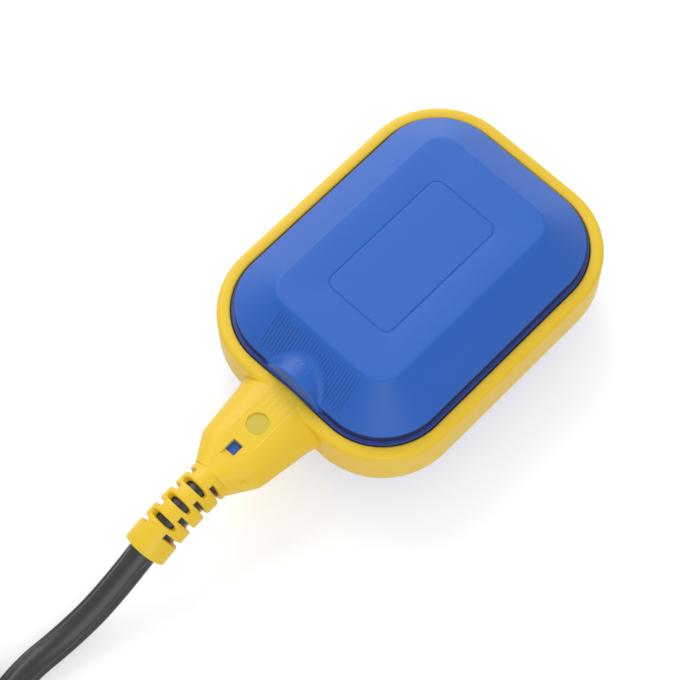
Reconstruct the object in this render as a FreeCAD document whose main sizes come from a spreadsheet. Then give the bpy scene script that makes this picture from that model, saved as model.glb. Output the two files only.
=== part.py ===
"""Float level switch on a three-core cable, as a parametric FreeCAD document.

Row frame: millimetres, +Z up, +X towards the nose of the float, the cable leaves towards -X.
The origin is under the middle of the float and its strain relief, on the surface it stands on.
"""
import FreeCAD, Part
import math
import os
import re
import Sketcher
from FreeCAD import Vector

# ---------------------------------------------------------------- driving sizes
# alias: (value, what it is)
SIZES = {
    # yellow surround
    "rim_length": (106.8, "outer length of the rim, nose to cable side"),
    "rim_width": (81.0, "outer width of the rim"),
    "rim_tall": (15.48, "height of the rim"),
    "rim_wall": (4.03, "thickness of the rim seen from above"),
    "rim_corner": (24.8, "outer corner radius of the rim"),
    "rim_outer_round": (1.7, "rounding of the rim's outer edges"),
    "rim_inner_round": (0.7, "rounding of the rim's inner edges"),
    "neck_flat": (4.8, "half width of the flat band along the neck"),
    "neck_root_half": (17.2, "half width of the neck where it leaves the rim"),
    "neck_start": (57.4, "distance from rim centre to the end of the root flare"),
    "neck_start_half": (14.0, "half width of the neck there"),
    "neck_knee": (73.5, "distance from rim centre to the knee of the neck"),
    "neck_knee_half": (11.7, "half width of the neck at the knee"),
    "neck_knee_rise": (6.75, "half height of the neck at the knee"),
    "neck_end": (81.3, "distance from rim centre to the small end of the neck"),
    "neck_end_half": (6.2, "half width and half height of the small end"),
    "relief_start": (83.3, "distance from rim centre to the start of the strain relief"),
    "relief_radius": (6.7, "outer radius of the strain relief"),
    "relief_bore": (4.4, "bore radius of the strain relief"),
    "relief_bend": (62.0, "radius of the relief's sag"),
    "relief_angle": (25.0, "angle of the relief's sag, degrees"),
    "slot_width": (1.45, "width of a relief slot"),
    "slot_pitch": (5.92, "distance between slots of one kind along the axis"),
    "slot_first": (1.3, "distance from relief start to the first side slot"),
    "slot_web": (3.5, "half width of the web between side slots"),
    "slot_reach": (4.2, "half length of a top slot"),
    "window_side": (3.6, "side of the square window in the neck"),
    "window_place": (71.9, "distance from rim centre to the window"),
    "dimple_radius": (3.35, "radius of the round dimple in the neck"),
    "dimple_place": (62.6, "distance from rim centre to the dimple"),
    "dimple_floor": (7.05, "height of the dimple's floor above mid-plane"),
    # blue shells
    "float_thick": (43.15, "thickness of the float over both flat faces"),
    "flange_gap": (0.25, "gap between shell and rim"),
    "foot_inset": (1.15, "width of the ledge round the shell"),
    "foot_rise": (10.74, "height above mid-plane where the slope starts"),
    "flat_length": (70.98, "length of the flat face"),
    "flat_width": (45.38, "width of the flat face"),
    "flat_corner": (7.0, "corner radius of the flat face"),
    "flat_shift": (-0.36, "shift of the flat face towards the cable"),
    "shell_wall": (2.2, "wall of a shell"),
    "hump_radius": (10.7, "radius of the hump over the cable entry"),
    "hump_rise": (5.84, "height of the hump's centre above mid-plane"),
    "hump_front": (48.75, "distance from rim centre to the hump's front"),
    "hump_back": (40.5, "distance from rim centre to the hump's inner end"),
    "badge_length": (46.3, "length of the engraved frame on the flat face"),
    "badge_width": (24.4, "width of the engraved frame"),
    "badge_corner": (3.2, "corner radius of the engraved frame"),
    "badge_line": (0.5, "width of the engraved line"),
    "badge_deep": (0.2, "depth of the engraved line"),
    "sleeve_half": (8.6, "half width of the shells' sleeve round the cable"),
    "sleeve_rise": (5.2, "half height of the sleeve"),
    "sleeve_round": (2.5, "corner radius of the sleeve"),
    "sleeve_end": (75.0, "distance from rim centre to the end of the sleeve"),
    "sleeve_gap": (0.1, "gap between sleeve and neck"),
    "post_radius": (2.6, "radius of the posts that hold the dry box"),
    "post_along": (24.0, "posts from the middle of the box, along X"),
    "post_across": (14.0, "posts from the middle of the box, along Y"),
    # cable
    "cable_radius": (4.25, "radius of the cable's sheath"),
    "cable_gap": (0.1, "gap round the cable in its bores"),
    "core_radius": (1.2, "radius of an insulated core"),
    "core_spread": (1.56, "cores from the cable's axis, to the side"),
    "sheath_end": (34.6, "distance from rim centre to the stripped end of the sheath"),
    "seal_radius": (6.8, "outer radius of the cable grommet"),
    "seal_long": (6.0, "length of the cable grommet"),
    "seal_start": (41.4, "distance from rim centre to the grommet's inner face"),
    "seat_gap": (0.05, "gap between parts that seat on each other"),
    # cable clamp
    "clamp_long": (4.6, "length of the clamp along the cable"),
    "clamp_place": (37.4, "distance from rim centre to the middle of the clamp"),
    "clamp_half": (12.6, "half width of the clamp"),
    "clamp_split": (1.0, "height of the clamp's seat below mid-plane"),
    "clamp_rise": (6.4, "height of the clamp above mid-plane"),
    "clamp_screw_place": (9.2, "clamp screws from the cable's axis"),
    # dry box
    "box_place": (5.0, "distance from rim centre to the middle of the dry box, towards the nose"),
    "box_side_gap": (0.4, "gap between the snap switch and the dry box's side wall"),
    "box_tall": (24.0, "height of the dry box"),
    "box_wall": (2.0, "wall of the dry box"),
    "box_corner": (4.0, "corner radius of the dry box"),
    "gasket_thick": (0.8, "thickness of the gasket between tray and cover"),
    "boss_radius": (3.2, "radius of the screw bosses"),
    "boss_inset": (4.6, "screws from the outside of the dry box"),
    "screw_radius": (1.2, "radius of the screw shanks"),
    "screw_long": (18.0, "length of a box screw under its head"),
    "head_radius": (2.4, "radius of a screw head"),
    "head_tall": (1.5, "height of a screw head"),
    "entry_half": (4.8, "half width of the wire entry"),
    "entry_tall": (3.2, "height of the wire entry"),
    "entry_drop": (2.4, "middle of the wire entry below the box's mid-plane"),
    "core_pitch": (3.0, "distance between cores in the wire entry"),
    "core_room": (11.8, "room for the cores between the dry box's end wall and the terminals"),
    "core_straight": (1.4, "straight start of a core at the sheath's end"),
    "core_line_up": (3.0, "distance in front of the box where a core meets its hole's line"),
    "core_run_in": (2.6, "straight end of a core at its terminal"),
    "rail_wall": (1.6, "thickness of the ball's side rails"),
    "rail_start": (9.6, "start of the rails from the middle of the box"),
    "keeper_thick": (2.0, "thickness of the rib that keeps the ball down"),
    # ball and lever
    "ball_radius": (8.0, "radius of the steel ball"),
    "ball_gap": (0.2, "gap between ball and track"),
    "lever_angle": (18.0, "swing of the lever, degrees"),
    "lever_reach": (17.0, "distance from lever pin to the ball's path"),
    "lever_thick": (0.5, "thickness of the lever"),
    "lever_tall": (5.0, "height of the lever"),
    "lever_long": (22.0, "length of the lever from its pin"),
    "lever_gap": (0.3, "gap between lever and ball"),
    "hub_radius": (1.2, "radius of the lever's rolled hub"),
    "pin_radius": (0.6, "radius of the lever pin"),
    "pin_gap": (0.05, "running gap round the lever pin"),
    "pin_stand": (1.6, "distance from the switch's face to the lever pin"),
    "ear_thick": (1.0, "thickness of the ears that hold the lever pin"),
    # snap switch
    "case_deep": (15.9, "size of the switch from plunger face to back"),
    "case_long": (27.8, "length of the switch"),
    "case_thick": (10.3, "thickness of the switch"),
    "case_wall": (1.2, "wall of the switch case"),
    "lid_thick": (1.5, "thickness of the switch's lid"),
    "case_inset": (1.6, "lever pin from the end of the switch"),
    "plunger_arm": (3.58, "distance from lever pin to the plunger"),
    "plunger_radius": (1.2, "radius of the plunger"),
    "plunger_nose": (0.8, "radius of the plunger's inner nose"),
    "plunger_gap": (0.15, "running gap of the plunger"),
    "tip_flat": (0.45, "radius of the flat on the plunger's tip"),
    "tip_taper": (0.6, "length of the tip's taper"),
    "tip_gap": (0.25, "gap between lever and plunger when pressed"),
    "blade_place": (9.2, "distance from lever pin to the contact blade, towards the back"),
    "blade_thick": (0.4, "thickness of the contact blade"),
    "blade_tall": (4.0, "width of the contact blade"),
    "blade_pivot": (5.5, "place of the blade's pivot along the switch"),
    "bead_radius": (0.45, "radius of the round bead that the blade turns on"),
    "contact_radius": (1.1, "radius of a contact rivet"),
    "contact_stand": (0.5, "height of a contact rivet over the blade"),
    "contact_offset": (2.2, "contact rivet beyond the plunger"),
    "contact_gap": (0.1, "gap kept at a closed contact"),
    "tab_long": (4.0, "length of a terminal outside the switch"),
    "tab_thick": (0.8, "thickness of a terminal"),
    "tab_wide": (4.8, "width of a terminal"),
    "closed_tab": (-6.5, "place of the normally closed terminal along the switch"),
    "fix_hole": (1.55, "radius of the switch's fixing holes"),
    "fix_boss": (2.7, "radius of the bosses round the fixing holes"),
    "fix_inset": (2.9, "first fixing hole from the switch's face and its far end"),
    "fix_long": (17.8, "distance between the fixing holes along the switch"),
    "fix_deep": (10.1, "distance between the fixing holes from face to back"),
    # far end of the cable; directions are from the coil's middle, in degrees, 0 towards the nose
    "coil_radius": (42.5, "radius of the coil at the middle of its section"),
    "coil_turns": (3, "turns side by side in a layer"),
    "coil_place": (209.0, "distance from rim centre to the coil's middle, away from the nose"),
    "coil_side": (38.0, "coil's middle to the side"),
    "coil_entry": (295.0, "direction where the cable joins the lower layer's outer turn"),
    "coil_end": (183.0, "direction of the sheath's end on the top layer's middle turn"),
    "coil_slope": (115.0, "direction where the top layer's outer turn has moved to its middle"),
    "coil_rise": (349.0, "direction where the outer column has moved up by one layer"),
    "lead_long": (34.0, "length of a stripped lead"),
    "lead_pitch": (3.2, "distance between the leads where they lie on the coil"),
    "lead_shift": (-3.5, "middle lead outside the middle of its turn"),
    "tip_radius": (0.7, "radius of a bare copper tip"),
    "tip_long": (8.0, "length of a bare copper tip"),
    "tie_thick": (1.2, "thickness of a cable tie's strap"),
    "tie_wide": (4.8, "width of a cable tie's strap"),
    "tie_gap": (0.25, "gap between a cable tie and the coil"),
    "tie_head": (7.0, "length and width of a cable tie's head"),
    "tie_head_tall": (4.4, "height of a cable tie's head"),
}

doc = FreeCAD.newDocument("FloatLevelSwitch")
sheet = doc.addObject("Spreadsheet::Sheet", "Sizes")
for row, (alias, (value, meaning)) in enumerate(SIZES.items(), 1):
    sheet.set(f"A{row}", meaning)
    sheet.set(f"B{row}", str(value))
    sheet.setAlias(f"B{row}", alias)
doc.recompute()

# Lengths that follow from the driving sizes, written as expressions of the sheet.
RIM_X = ("((relief_start + (relief_bend + relief_radius) * sin(relief_angle))"
         " - rim_length / 2) / 2")
MID_Z = "float_thick / 2"
SLOPE = ("atan2(float_thick / 2 - foot_rise;"
         " rim_length / 2 - rim_wall - flange_gap - foot_inset - flat_length / 2)")
BOX_X = f"{RIM_X} + box_place"
BALL_REST = ("(ball_radius + lever_thick / 2 + lever_gap + lever_reach * sin(lever_angle))"
             " / cos(lever_angle)")
BALL_TRAVEL = f"({BALL_REST} - (ball_radius + lever_thick / 2 + lever_gap))"
# The dry box is as long and as wide as the cores, the switch and the ball need.
DERIVED = {
    "box_length": f"(2 * box_wall + core_room + tab_long + case_deep + pin_stand + {BALL_REST}"
                  " + ball_radius + ball_gap)",
    "box_width": "(2 * (lever_reach + case_inset + box_side_gap + box_wall))"}
SWITCH_X = f"{BOX_X} + box_length / 2 - box_wall - ball_gap - ball_radius - {BALL_REST}"
BALL_Z = "-box_tall / 2 + box_wall + ball_gap + ball_radius"
PLUNGER_TRAVEL = "(plunger_arm * tan(lever_angle) - lever_thick / 2 * (1 / cos(lever_angle) - 1))"
PLUNGER_Y = "(plunger_arm - lever_reach)"
CASE_LOW = "(-lever_reach - case_inset)"
CASE_HIGH = "(case_long - lever_reach - case_inset)"
CASE_BACK = "(-pin_stand - case_deep)"
LID_LOW = "(case_thick / 2 - lid_thick)"
EAR_OUT = "(lever_tall / 2 + ball_gap / 2 + ear_thick)"
CONTACT_Y = f"({PLUNGER_Y} - contact_offset)"
BLADE_SWING = f"asin({PLUNGER_TRAVEL} / (blade_pivot - {PLUNGER_Y}))"
CONTACT_TRAVEL = f"({PLUNGER_TRAVEL} / (blade_pivot - {PLUNGER_Y}) * (blade_pivot - {CONTACT_Y}))"


# ---------------------------------------------------------------- small helpers
def cell(text):
    """Writes out the derived names and puts the sheet's name in front of every alias."""
    def spelled(word):
        name = word.group()
        return cell(DERIVED[name]) if name in DERIVED else f"Sizes.{name}" if name in SIZES else name
    return re.sub(r"[a-z_]{3,}", spelled, str(text))


def number(text):
    """Value of an expression of the sheet."""
    value = sheet.evalExpression(cell(text))
    return float(getattr(value, "Value", value))


def bind(thing, prop, text):
    thing.setExpression(prop, cell(text))


def place(thing, x="0", y="0", z="0"):
    """Binds where a sub-part's own frame stands in the row frame."""
    bind(thing, "Placement.Base.x", x)
    bind(thing, "Placement.Base.y", y)
    bind(thing, "Placement.Base.z", z)


def new_body(label, x=RIM_X, y="0", z=MID_Z):
    body = doc.addObject("PartDesign::Body", label)
    body.Label = label
    place(body, x, y, z)
    return body


def new_sketch(body, name, plane="XY_Plane", x="0", y="0", z="0", turn=None):
    """A sketch on one of the body's origin planes; z is its offset along the plane's normal."""
    sketch = body.newObject("Sketcher::SketchObject", f"{body.Label}_{name}")
    support = [f for f in body.Origin.OriginFeatures if f.Role == plane][0]
    sketch.AttachmentSupport = [(support, "")]
    sketch.MapMode = "FlatFace"
    if turn is not None:
        sketch.AttachmentOffset = FreeCAD.Placement(Vector(), FreeCAD.Rotation(Vector(0, 0, 1), 1.0))
        bind(sketch, "AttachmentOffset.Rotation.Angle", turn)
    bind(sketch, "AttachmentOffset.Base.x", x)
    bind(sketch, "AttachmentOffset.Base.y", y)
    bind(sketch, "AttachmentOffset.Base.z", z)
    return sketch


def fix(sketch, kind, targets, text):
    """A driving dimension of a sketch, bound to an expression."""
    index = sketch.addConstraint(Sketcher.Constraint(kind, *targets, number(text)))
    bind(sketch, f"Constraints[{index}]", text)


def outline(sketch, corners):
    """A closed outline. A corner with a third entry starts a counter-clockwise arc of that radius."""
    points = [Vector(number(c[0]), number(c[1]), 0) for c in corners]
    first = sketch.GeometryCount
    for i, corner in enumerate(corners):
        start, end = points[i], points[(i + 1) % len(points)]
        if len(corner) == 2:
            sketch.addGeometry(Part.LineSegment(start, end), False)
            continue
        radius, chord = number(corner[2]), end - start
        rise = math.sqrt(max(radius ** 2 - (chord.Length / 2) ** 2, 0.0))
        centre = (start + end) / 2 + Vector(-chord.y, chord.x, 0) / chord.Length * rise
        angles = [math.atan2(p.y - centre.y, p.x - centre.x) for p in (start, end)]
        circle_line = Part.Circle(centre, Vector(0, 0, 1), radius)
        sketch.addGeometry(Part.ArcOfCircle(circle_line, angles[0], angles[1]), False)
    for i, corner in enumerate(corners):
        line, after = first + i, first + (i + 1) % len(corners)
        sketch.addConstraint(Sketcher.Constraint("Coincident", line, 2, after, 1))
        fix(sketch, "DistanceX", (-1, 1, line, 1), corner[0])
        fix(sketch, "DistanceY", (-1, 1, line, 1), corner[1])
        if len(corner) == 3:
            fix(sketch, "Radius", (line,), corner[2])


def rectangle(sketch, x0, x1, y0, y1):
    outline(sketch, [(x0, y0), (x1, y0), (x1, y1), (x0, y1)])


def rounded(sketch, half_x, half_y, radius, x="0", y="0"):
    """A rectangle with rounded corners about the point x, y."""
    left, right = f"{x} - ({half_x})", f"{x} + ({half_x})"
    low, high = f"{y} - ({half_y})", f"{y} + ({half_y})"
    outline(sketch, [
        (f"{left} + ({radius})", low), (f"{right} - ({radius})", low, radius),
        (right, f"{low} + ({radius})"), (right, f"{high} - ({radius})", radius),
        (f"{right} - ({radius})", high), (f"{left} + ({radius})", high, radius),
        (left, f"{high} - ({radius})"), (left, f"{low} + ({radius})", radius)])


def circle(sketch, x, y, radius):
    centre = Vector(number(x), number(y), 0)
    index = sketch.addGeometry(Part.Circle(centre, Vector(0, 0, 1), number(radius)), False)
    fix(sketch, "DistanceX", (-1, 1, index, 3), x)
    fix(sketch, "DistanceY", (-1, 1, index, 3), y)
    fix(sketch, "Radius", (index,), radius)


def extrude(body, sketch, length, cut=False, back=False):
    """Pad along the sketch's normal, or Pocket against it; back turns the direction round."""
    kind = "Pocket" if cut else "Pad"
    feature = body.newObject(f"PartDesign::{kind}", f"{sketch.Name}_{kind.lower()}")
    feature.Profile = sketch
    feature.Reversed = back
    bind(feature, "Length", length)
    sketch.Visibility = False
    doc.recompute()
    return feature


def loft(body, sketches, cut=False):
    kind = "SubtractiveLoft" if cut else "AdditiveLoft"
    feature = body.newObject(f"PartDesign::{kind}", f"{sketches[0].Name}_loft")
    feature.Profile = sketches[0]
    feature.Sections = sketches[1:]
    feature.Ruled = True
    doc.recompute()
    return feature


def revolve(body, sketch, angle, cut=False, back=False):
    """Turns a sketch about its own horizontal axis."""
    kind = "Groove" if cut else "Revolution"
    feature = body.newObject(f"PartDesign::{kind}", f"{sketch.Name}_{kind.lower()}")
    feature.Profile = sketch
    feature.ReferenceAxis = (sketch, ["H_Axis"])
    feature.Reversed = back
    bind(feature, "Angle", angle)
    doc.recompute()
    return feature


def fillet(body, base, test, radius):
    """Rounds the edges of the base feature whose points all pass the test."""
    names = [f"Edge{i}" for i, edge in enumerate(base.Shape.Edges, 1)
             if all(test(p) for p in edge.discretize(5))]
    feature = body.newObject("PartDesign::Fillet", f"{base.Name}_fillet")
    feature.Base = (base, names)
    bind(feature, "Radius", radius)
    doc.recompute()
    return feature


def block(label, x0, x1, y0, y1, z0, z1):
    """A bound Part::Box between two corners."""
    box = doc.addObject("Part::Box", label)
    bind(box, "Length", f"({x1}) - ({x0})")
    bind(box, "Width", f"({y1}) - ({y0})")
    bind(box, "Height", f"({z1}) - ({z0})")
    place(box, x0, y0, z0)
    return box


def rod(label, start, radius, length, axis=(0, 0, 1)):
    """A bound Part::Cylinder from a start point along an axis."""
    cylinder = doc.addObject("Part::Cylinder", label)
    bind(cylinder, "Radius", radius)
    bind(cylinder, "Height", length)
    cylinder.Placement = FreeCAD.Placement(Vector(), FreeCAD.Rotation(Vector(0, 0, 1), Vector(*axis)))
    place(cylinder, *start)
    return cylinder


def cone(label, start, radius, end_radius, length, axis=(0, 0, 1)):
    """A bound Part::Cone from a start point along an axis."""
    frustum = doc.addObject("Part::Cone", label)
    bind(frustum, "Radius1", radius)
    bind(frustum, "Radius2", end_radius)
    bind(frustum, "Height", length)
    frustum.Placement = FreeCAD.Placement(Vector(), FreeCAD.Rotation(Vector(0, 0, 1), Vector(*axis)))
    place(frustum, *start)
    return frustum


def join(label, kind, pieces, x="0", y="0", z="0"):
    """A boolean or a compound of bound pieces, placed in the row frame."""
    joined = doc.addObject(f"Part::{kind}", label)
    joined.Label = label
    if kind == "Cut":
        joined.Base, joined.Tool = pieces
    elif kind == "Compound":
        joined.Links = pieces
    else:
        joined.Shapes = pieces
    place(joined, x, y, z)
    return joined


# ---------------------------------------------------------------- yellow surround
RIM_HALF_X, RIM_HALF_Y = "rim_length / 2", "rim_width / 2"
BORE_HALF_X, BORE_HALF_Y = "(rim_length / 2 - rim_wall)", "(rim_width / 2 - rim_wall)"
BORE_CORNER = "(rim_corner - rim_wall)"


def neck_section(body, name, distance, half, rise, flat):
    """Neck section: flat band on top and bottom, round flanks that meet at mid-plane."""
    section = new_sketch(body, name, "YZ_Plane", z=f"-({distance})")
    radius = f"((({half}) - ({flat})) ^ 2 + ({rise}) ^ 2) / (2 * ({rise}))"
    outline(section, [
        (f"-({flat})", f"-({rise})"), (flat, f"-({rise})", radius), (half, "0", radius),
        (flat, rise), (f"-({flat})", rise, radius), (f"-({half})", "0", radius)])
    return section


def slot_angle(distance):
    return f"(({distance}) / relief_bend * 180 / pi)"


def relief_slots(body, name, distance, count, side, low, high):
    """Slots across the relief, repeated about the centre of its sag."""
    sketch = new_sketch(body, name, "XZ_Plane", x="-relief_start", y="-relief_bend",
                        z=f"{side}", turn=slot_angle(distance))
    rectangle(sketch, "-slot_width / 2", "slot_width / 2",
              "relief_bend - 1.5 * relief_radius", "relief_bend + 1.5 * relief_radius")
    slot = extrude(body, sketch, f"({high}) - ({low})", cut=True)
    pattern = body.newObject("PartDesign::PolarPattern", f"{body.Label}_{name}_row")
    pattern.Originals = [slot]
    pattern.Axis = (sketch, ["N_Axis"])
    bind(pattern, "Angle", f"{slot_angle('slot_pitch')} * {count - 1}")
    pattern.Occurrences = count
    body.Tip = pattern
    doc.recompute()
    return pattern


def surround_frame():
    body = new_body("surround_frame")
    ring = new_sketch(body, "rim", z="-rim_tall / 2")
    rounded(ring, RIM_HALF_X, RIM_HALF_Y, "rim_corner")
    rounded(ring, BORE_HALF_X, BORE_HALF_Y, BORE_CORNER)
    rim = extrude(body, ring, "rim_tall")
    top, wall = number("rim_tall / 2"), number("rim_wall")
    limit_x, limit_y = number(RIM_HALF_X) - wall / 2, number(RIM_HALF_Y) - wall / 2
    corner = number("rim_corner")

    def outside(p):
        """Whether a point lies on the outer half of the rim's wall."""
        dx = max(abs(p.x) - (limit_x + wall / 2 - corner), 0.0)
        dy = max(abs(p.y) - (limit_y + wall / 2 - corner), 0.0)
        if dx > 0 and dy > 0:
            return math.hypot(dx, dy) > corner - wall / 2
        return abs(p.x) > limit_x or abs(p.y) > limit_y

    rim = fillet(body, rim, lambda p: abs(abs(p.z) - top) < 0.01 and outside(p), "rim_outer_round")
    fillet(body, rim, lambda p: abs(abs(p.z) - top) < 0.01 and not outside(p), "rim_inner_round")

    neck = [
        neck_section(body, "neck_0", "rim_length / 2 - rim_wall / 2", "neck_root_half",
                     "rim_tall / 2", "neck_flat"),
        neck_section(body, "neck_1", "neck_start", "neck_start_half", "rim_tall / 2", "neck_flat"),
        neck_section(body, "neck_2", "neck_knee", "neck_knee_half", "neck_knee_rise", "neck_flat"),
        neck_section(body, "neck_3", "neck_end", "neck_end_half", "neck_end_half", "neck_flat / 4")]
    loft(body, neck)

    collar = new_sketch(body, "collar", "YZ_Plane", z="-relief_start")
    circle(collar, "0", "0", "relief_radius")
    extrude(body, collar, "relief_start - neck_end")
    sag = new_sketch(body, "relief", "YZ_Plane", y="-relief_bend", z="-relief_start")
    circle(sag, "0", "relief_bend", "relief_radius")
    revolve(body, sag, "relief_angle", back=True)

    hole = new_sketch(body, "sag_bore", "YZ_Plane", y="-relief_bend", z="-relief_start")
    circle(hole, "0", "relief_bend", "relief_bore")
    revolve(body, hole, "relief_angle", cut=True, back=True)
    hole = new_sketch(body, "neck_bore", "YZ_Plane", z="-sleeve_end + 1")
    circle(hole, "0", "0", "relief_bore")
    extrude(body, hole, "relief_start - sleeve_end + 1", cut=True)
    seat = new_sketch(body, "sleeve_seat", "YZ_Plane", z=f"-{BORE_HALF_X} + 1")
    rounded(seat, "sleeve_half + sleeve_gap", "sleeve_rise + sleeve_gap", "sleeve_round")
    extrude(body, seat, f"sleeve_end + sleeve_gap - {BORE_HALF_X} + 1", cut=True)

    window = new_sketch(body, "window", z="rim_tall")
    rectangle(window, "-window_place - window_side / 2", "-window_place + window_side / 2",
              "-window_side / 2", "window_side / 2")
    extrude(body, window, "rim_tall", cut=True)
    dimple = new_sketch(body, "dimple", z="dimple_floor + rim_tall")
    circle(dimple, "-dimple_place", "0", "dimple_radius")
    extrude(body, dimple, "rim_tall", cut=True)

    relief_slots(body, "top_slot", "slot_first + slot_pitch / 2", 3, "slot_reach",
                 "-slot_reach", "slot_reach")
    relief_slots(body, "left_slot", "slot_first", 4, "-slot_web", "slot_web", "2 * relief_radius")
    relief_slots(body, "right_slot", "slot_first", 4, "2 * relief_radius",
                 "slot_web", "2 * relief_radius")
    return body


# ---------------------------------------------------------------- blue shells
SEAT_HALF_X = f"({BORE_HALF_X} - flange_gap)"
SEAT_HALF_Y = f"({BORE_HALF_Y} - flange_gap)"
SEAT_CORNER = f"({BORE_CORNER} - flange_gap)"
FOOT = (f"({SEAT_HALF_X} - foot_inset)", f"({SEAT_HALF_Y} - foot_inset)",
        f"({SEAT_CORNER} - foot_inset)")
FLAT = ("flat_length / 2", "flat_width / 2", "flat_corner")
CEILING = "(float_thick / 2 - shell_wall)"
FLAT_INSET = f"(shell_wall * tan(({SLOPE}) / 2))"
FOOT_DROP = f"(foot_rise - shell_wall * tan((90 deg - {SLOPE}) / 2))"


def shell(label, carries_clamp):
    """One half of the float, made with its flat face up; the lower one is turned over."""
    body = new_body(label)
    seat = new_sketch(body, "seat")
    rounded(seat, SEAT_HALF_X, SEAT_HALF_Y, SEAT_CORNER)
    extrude(body, seat, "rim_tall / 2")
    step = new_sketch(body, "step")
    rounded(step, *FOOT)
    extrude(body, step, "foot_rise")
    foot = new_sketch(body, "foot", z="foot_rise")
    rounded(foot, *FOOT)
    flat = new_sketch(body, "flat", z="float_thick / 2")
    rounded(flat, *FLAT, x="flat_shift")
    loft(body, [foot, flat])

    inner_foot = [f"({size} - shell_wall)" for size in FOOT]
    room = new_sketch(body, "room", z=FOOT_DROP)
    rounded(room, *inner_foot)
    extrude(body, room, FOOT_DROP, cut=True)
    low = new_sketch(body, "room_low", z=FOOT_DROP)
    rounded(low, *inner_foot)
    high = new_sketch(body, "room_high", z=CEILING)
    rounded(high, *[f"({size} - {FLAT_INSET})" for size in FLAT], x="flat_shift")
    loft(body, [low, high], cut=True)

    hump = new_sketch(body, "hump", "YZ_Plane", z="-hump_front")
    outline(hump, [("-hump_radius", "0"), ("hump_radius", "0"), ("hump_radius", "hump_rise", "hump_radius"),
                   ("0", "hump_rise + hump_radius", "hump_radius"), ("-hump_radius", "hump_rise")])
    extrude(body, hump, "hump_front - hump_back")
    sleeve = new_sketch(body, "sleeve", "YZ_Plane", z="-sleeve_end")
    outline(sleeve, [
        ("-sleeve_half", "0"), ("sleeve_half", "0"),
        ("sleeve_half", "sleeve_rise - sleeve_round", "sleeve_round"),
        ("sleeve_half - sleeve_round", "sleeve_rise"),
        ("-sleeve_half + sleeve_round", "sleeve_rise", "sleeve_round"),
        ("-sleeve_half", "sleeve_rise - sleeve_round")])
    extrude(body, sleeve, "sleeve_end - hump_back")

    for along in (-1, 1):
        for across in (-1, 1):
            post = new_sketch(body, f"post_{along + 1}{across + 1}", z="box_tall / 2 + seat_gap")
            circle(post, f"box_place + {along} * post_along", f"{across} * post_across", "post_radius")
            extrude(body, post, f"{CEILING} + shell_wall / 2 - box_tall / 2 - seat_gap")
    if carries_clamp:
        cradle = new_sketch(body, "cradle", z="clamp_split")
        rectangle(cradle, "-clamp_place - clamp_long / 2", "-clamp_place + clamp_long / 2",
                  "-clamp_half", "clamp_half")
        extrude(body, cradle, "foot_rise + 3 * shell_wall - clamp_split")
        for side in (-1, 1):
            pilot = new_sketch(body, f"pilot_{side + 1}", z="clamp_split")
            circle(pilot, "-clamp_place", f"{side} * clamp_screw_place", "screw_radius + seat_gap")
            extrude(body, pilot, "rim_tall / 2", cut=True, back=True)

    bore = new_sketch(body, "bore", "YZ_Plane", z="-hump_back + 2 * clamp_long")
    circle(bore, "0", "0", "cable_radius + cable_gap")
    extrude(body, bore, "sleeve_end - hump_back + 3 * clamp_long", cut=True)
    gland = new_sketch(body, "gland", "YZ_Plane", z="-seal_start + seat_gap + shell_wall")
    circle(gland, "0", "0", "seal_radius + seat_gap")
    extrude(body, gland, "seal_long + 2 * seat_gap + shell_wall", cut=True)

    badge = new_sketch(body, "badge", z="float_thick / 2")
    rounded(badge, "badge_length / 2", "badge_width / 2", "badge_corner")
    rounded(badge, "badge_length / 2 - badge_line", "badge_width / 2 - badge_line",
            "badge_corner - badge_line")
    extrude(body, badge, "badge_deep", cut=True)
    if carries_clamp:
        body.Placement = FreeCAD.Placement(body.Placement.Base, FreeCAD.Rotation(Vector(1, 0, 0), 180))
        place(body, RIM_X, "0", MID_Z)
    return body


# ---------------------------------------------------------------- cable entry
def cable_grommet():
    body = new_body("cable_grommet")
    ring = new_sketch(body, "ring", "YZ_Plane", z="-seal_start - seal_long")
    circle(ring, "0", "0", "seal_radius")
    circle(ring, "0", "0", "cable_radius + seat_gap")
    extrude(body, ring, "seal_long")
    return body


def cable_clamp():
    """Bar across the cable, with a half-round groove and two screw holes."""
    body = new_body("cable_clamp")
    bar = new_sketch(body, "bar", z="-clamp_split + seat_gap")
    rectangle(bar, "-clamp_place - clamp_long / 2", "-clamp_place + clamp_long / 2",
              "-clamp_half", "clamp_half")
    extrude(body, bar, "clamp_rise + clamp_split - seat_gap")
    groove = new_sketch(body, "groove", "YZ_Plane", z="0")
    circle(groove, "0", "0", "cable_radius + seat_gap")
    extrude(body, groove, "clamp_place + clamp_long", cut=True)
    for side in (-1, 1):
        hole = new_sketch(body, f"hole_{side + 1}", z="clamp_rise")
        circle(hole, "-clamp_place", f"{side} * clamp_screw_place", "screw_radius + seat_gap")
        extrude(body, hole, "2 * clamp_rise", cut=True)
    return body


def screw(name, x, y, head_seat, shank):
    """A pan-head screw that points down, as one solid."""
    head = rod(f"{name}_head", (x, y, head_seat), "head_radius", "head_tall")
    stem = rod(f"{name}_shank", (x, y, f"({head_seat}) - ({shank})"), "screw_radius",
               f"({shank}) + head_tall / 2")
    return join(f"{name}_whole", "MultiFuse", [head, stem])


def clamp_screws():
    screws = [screw(f"clamp_screw_{side + 1}", "-clamp_place", f"{side} * clamp_screw_place",
                    "clamp_rise + seat_gap", "clamp_rise + rim_tall / 2") for side in (-1, 1)]
    return join("clamp_screws", "Compound", screws, RIM_X, "0", MID_Z)


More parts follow.
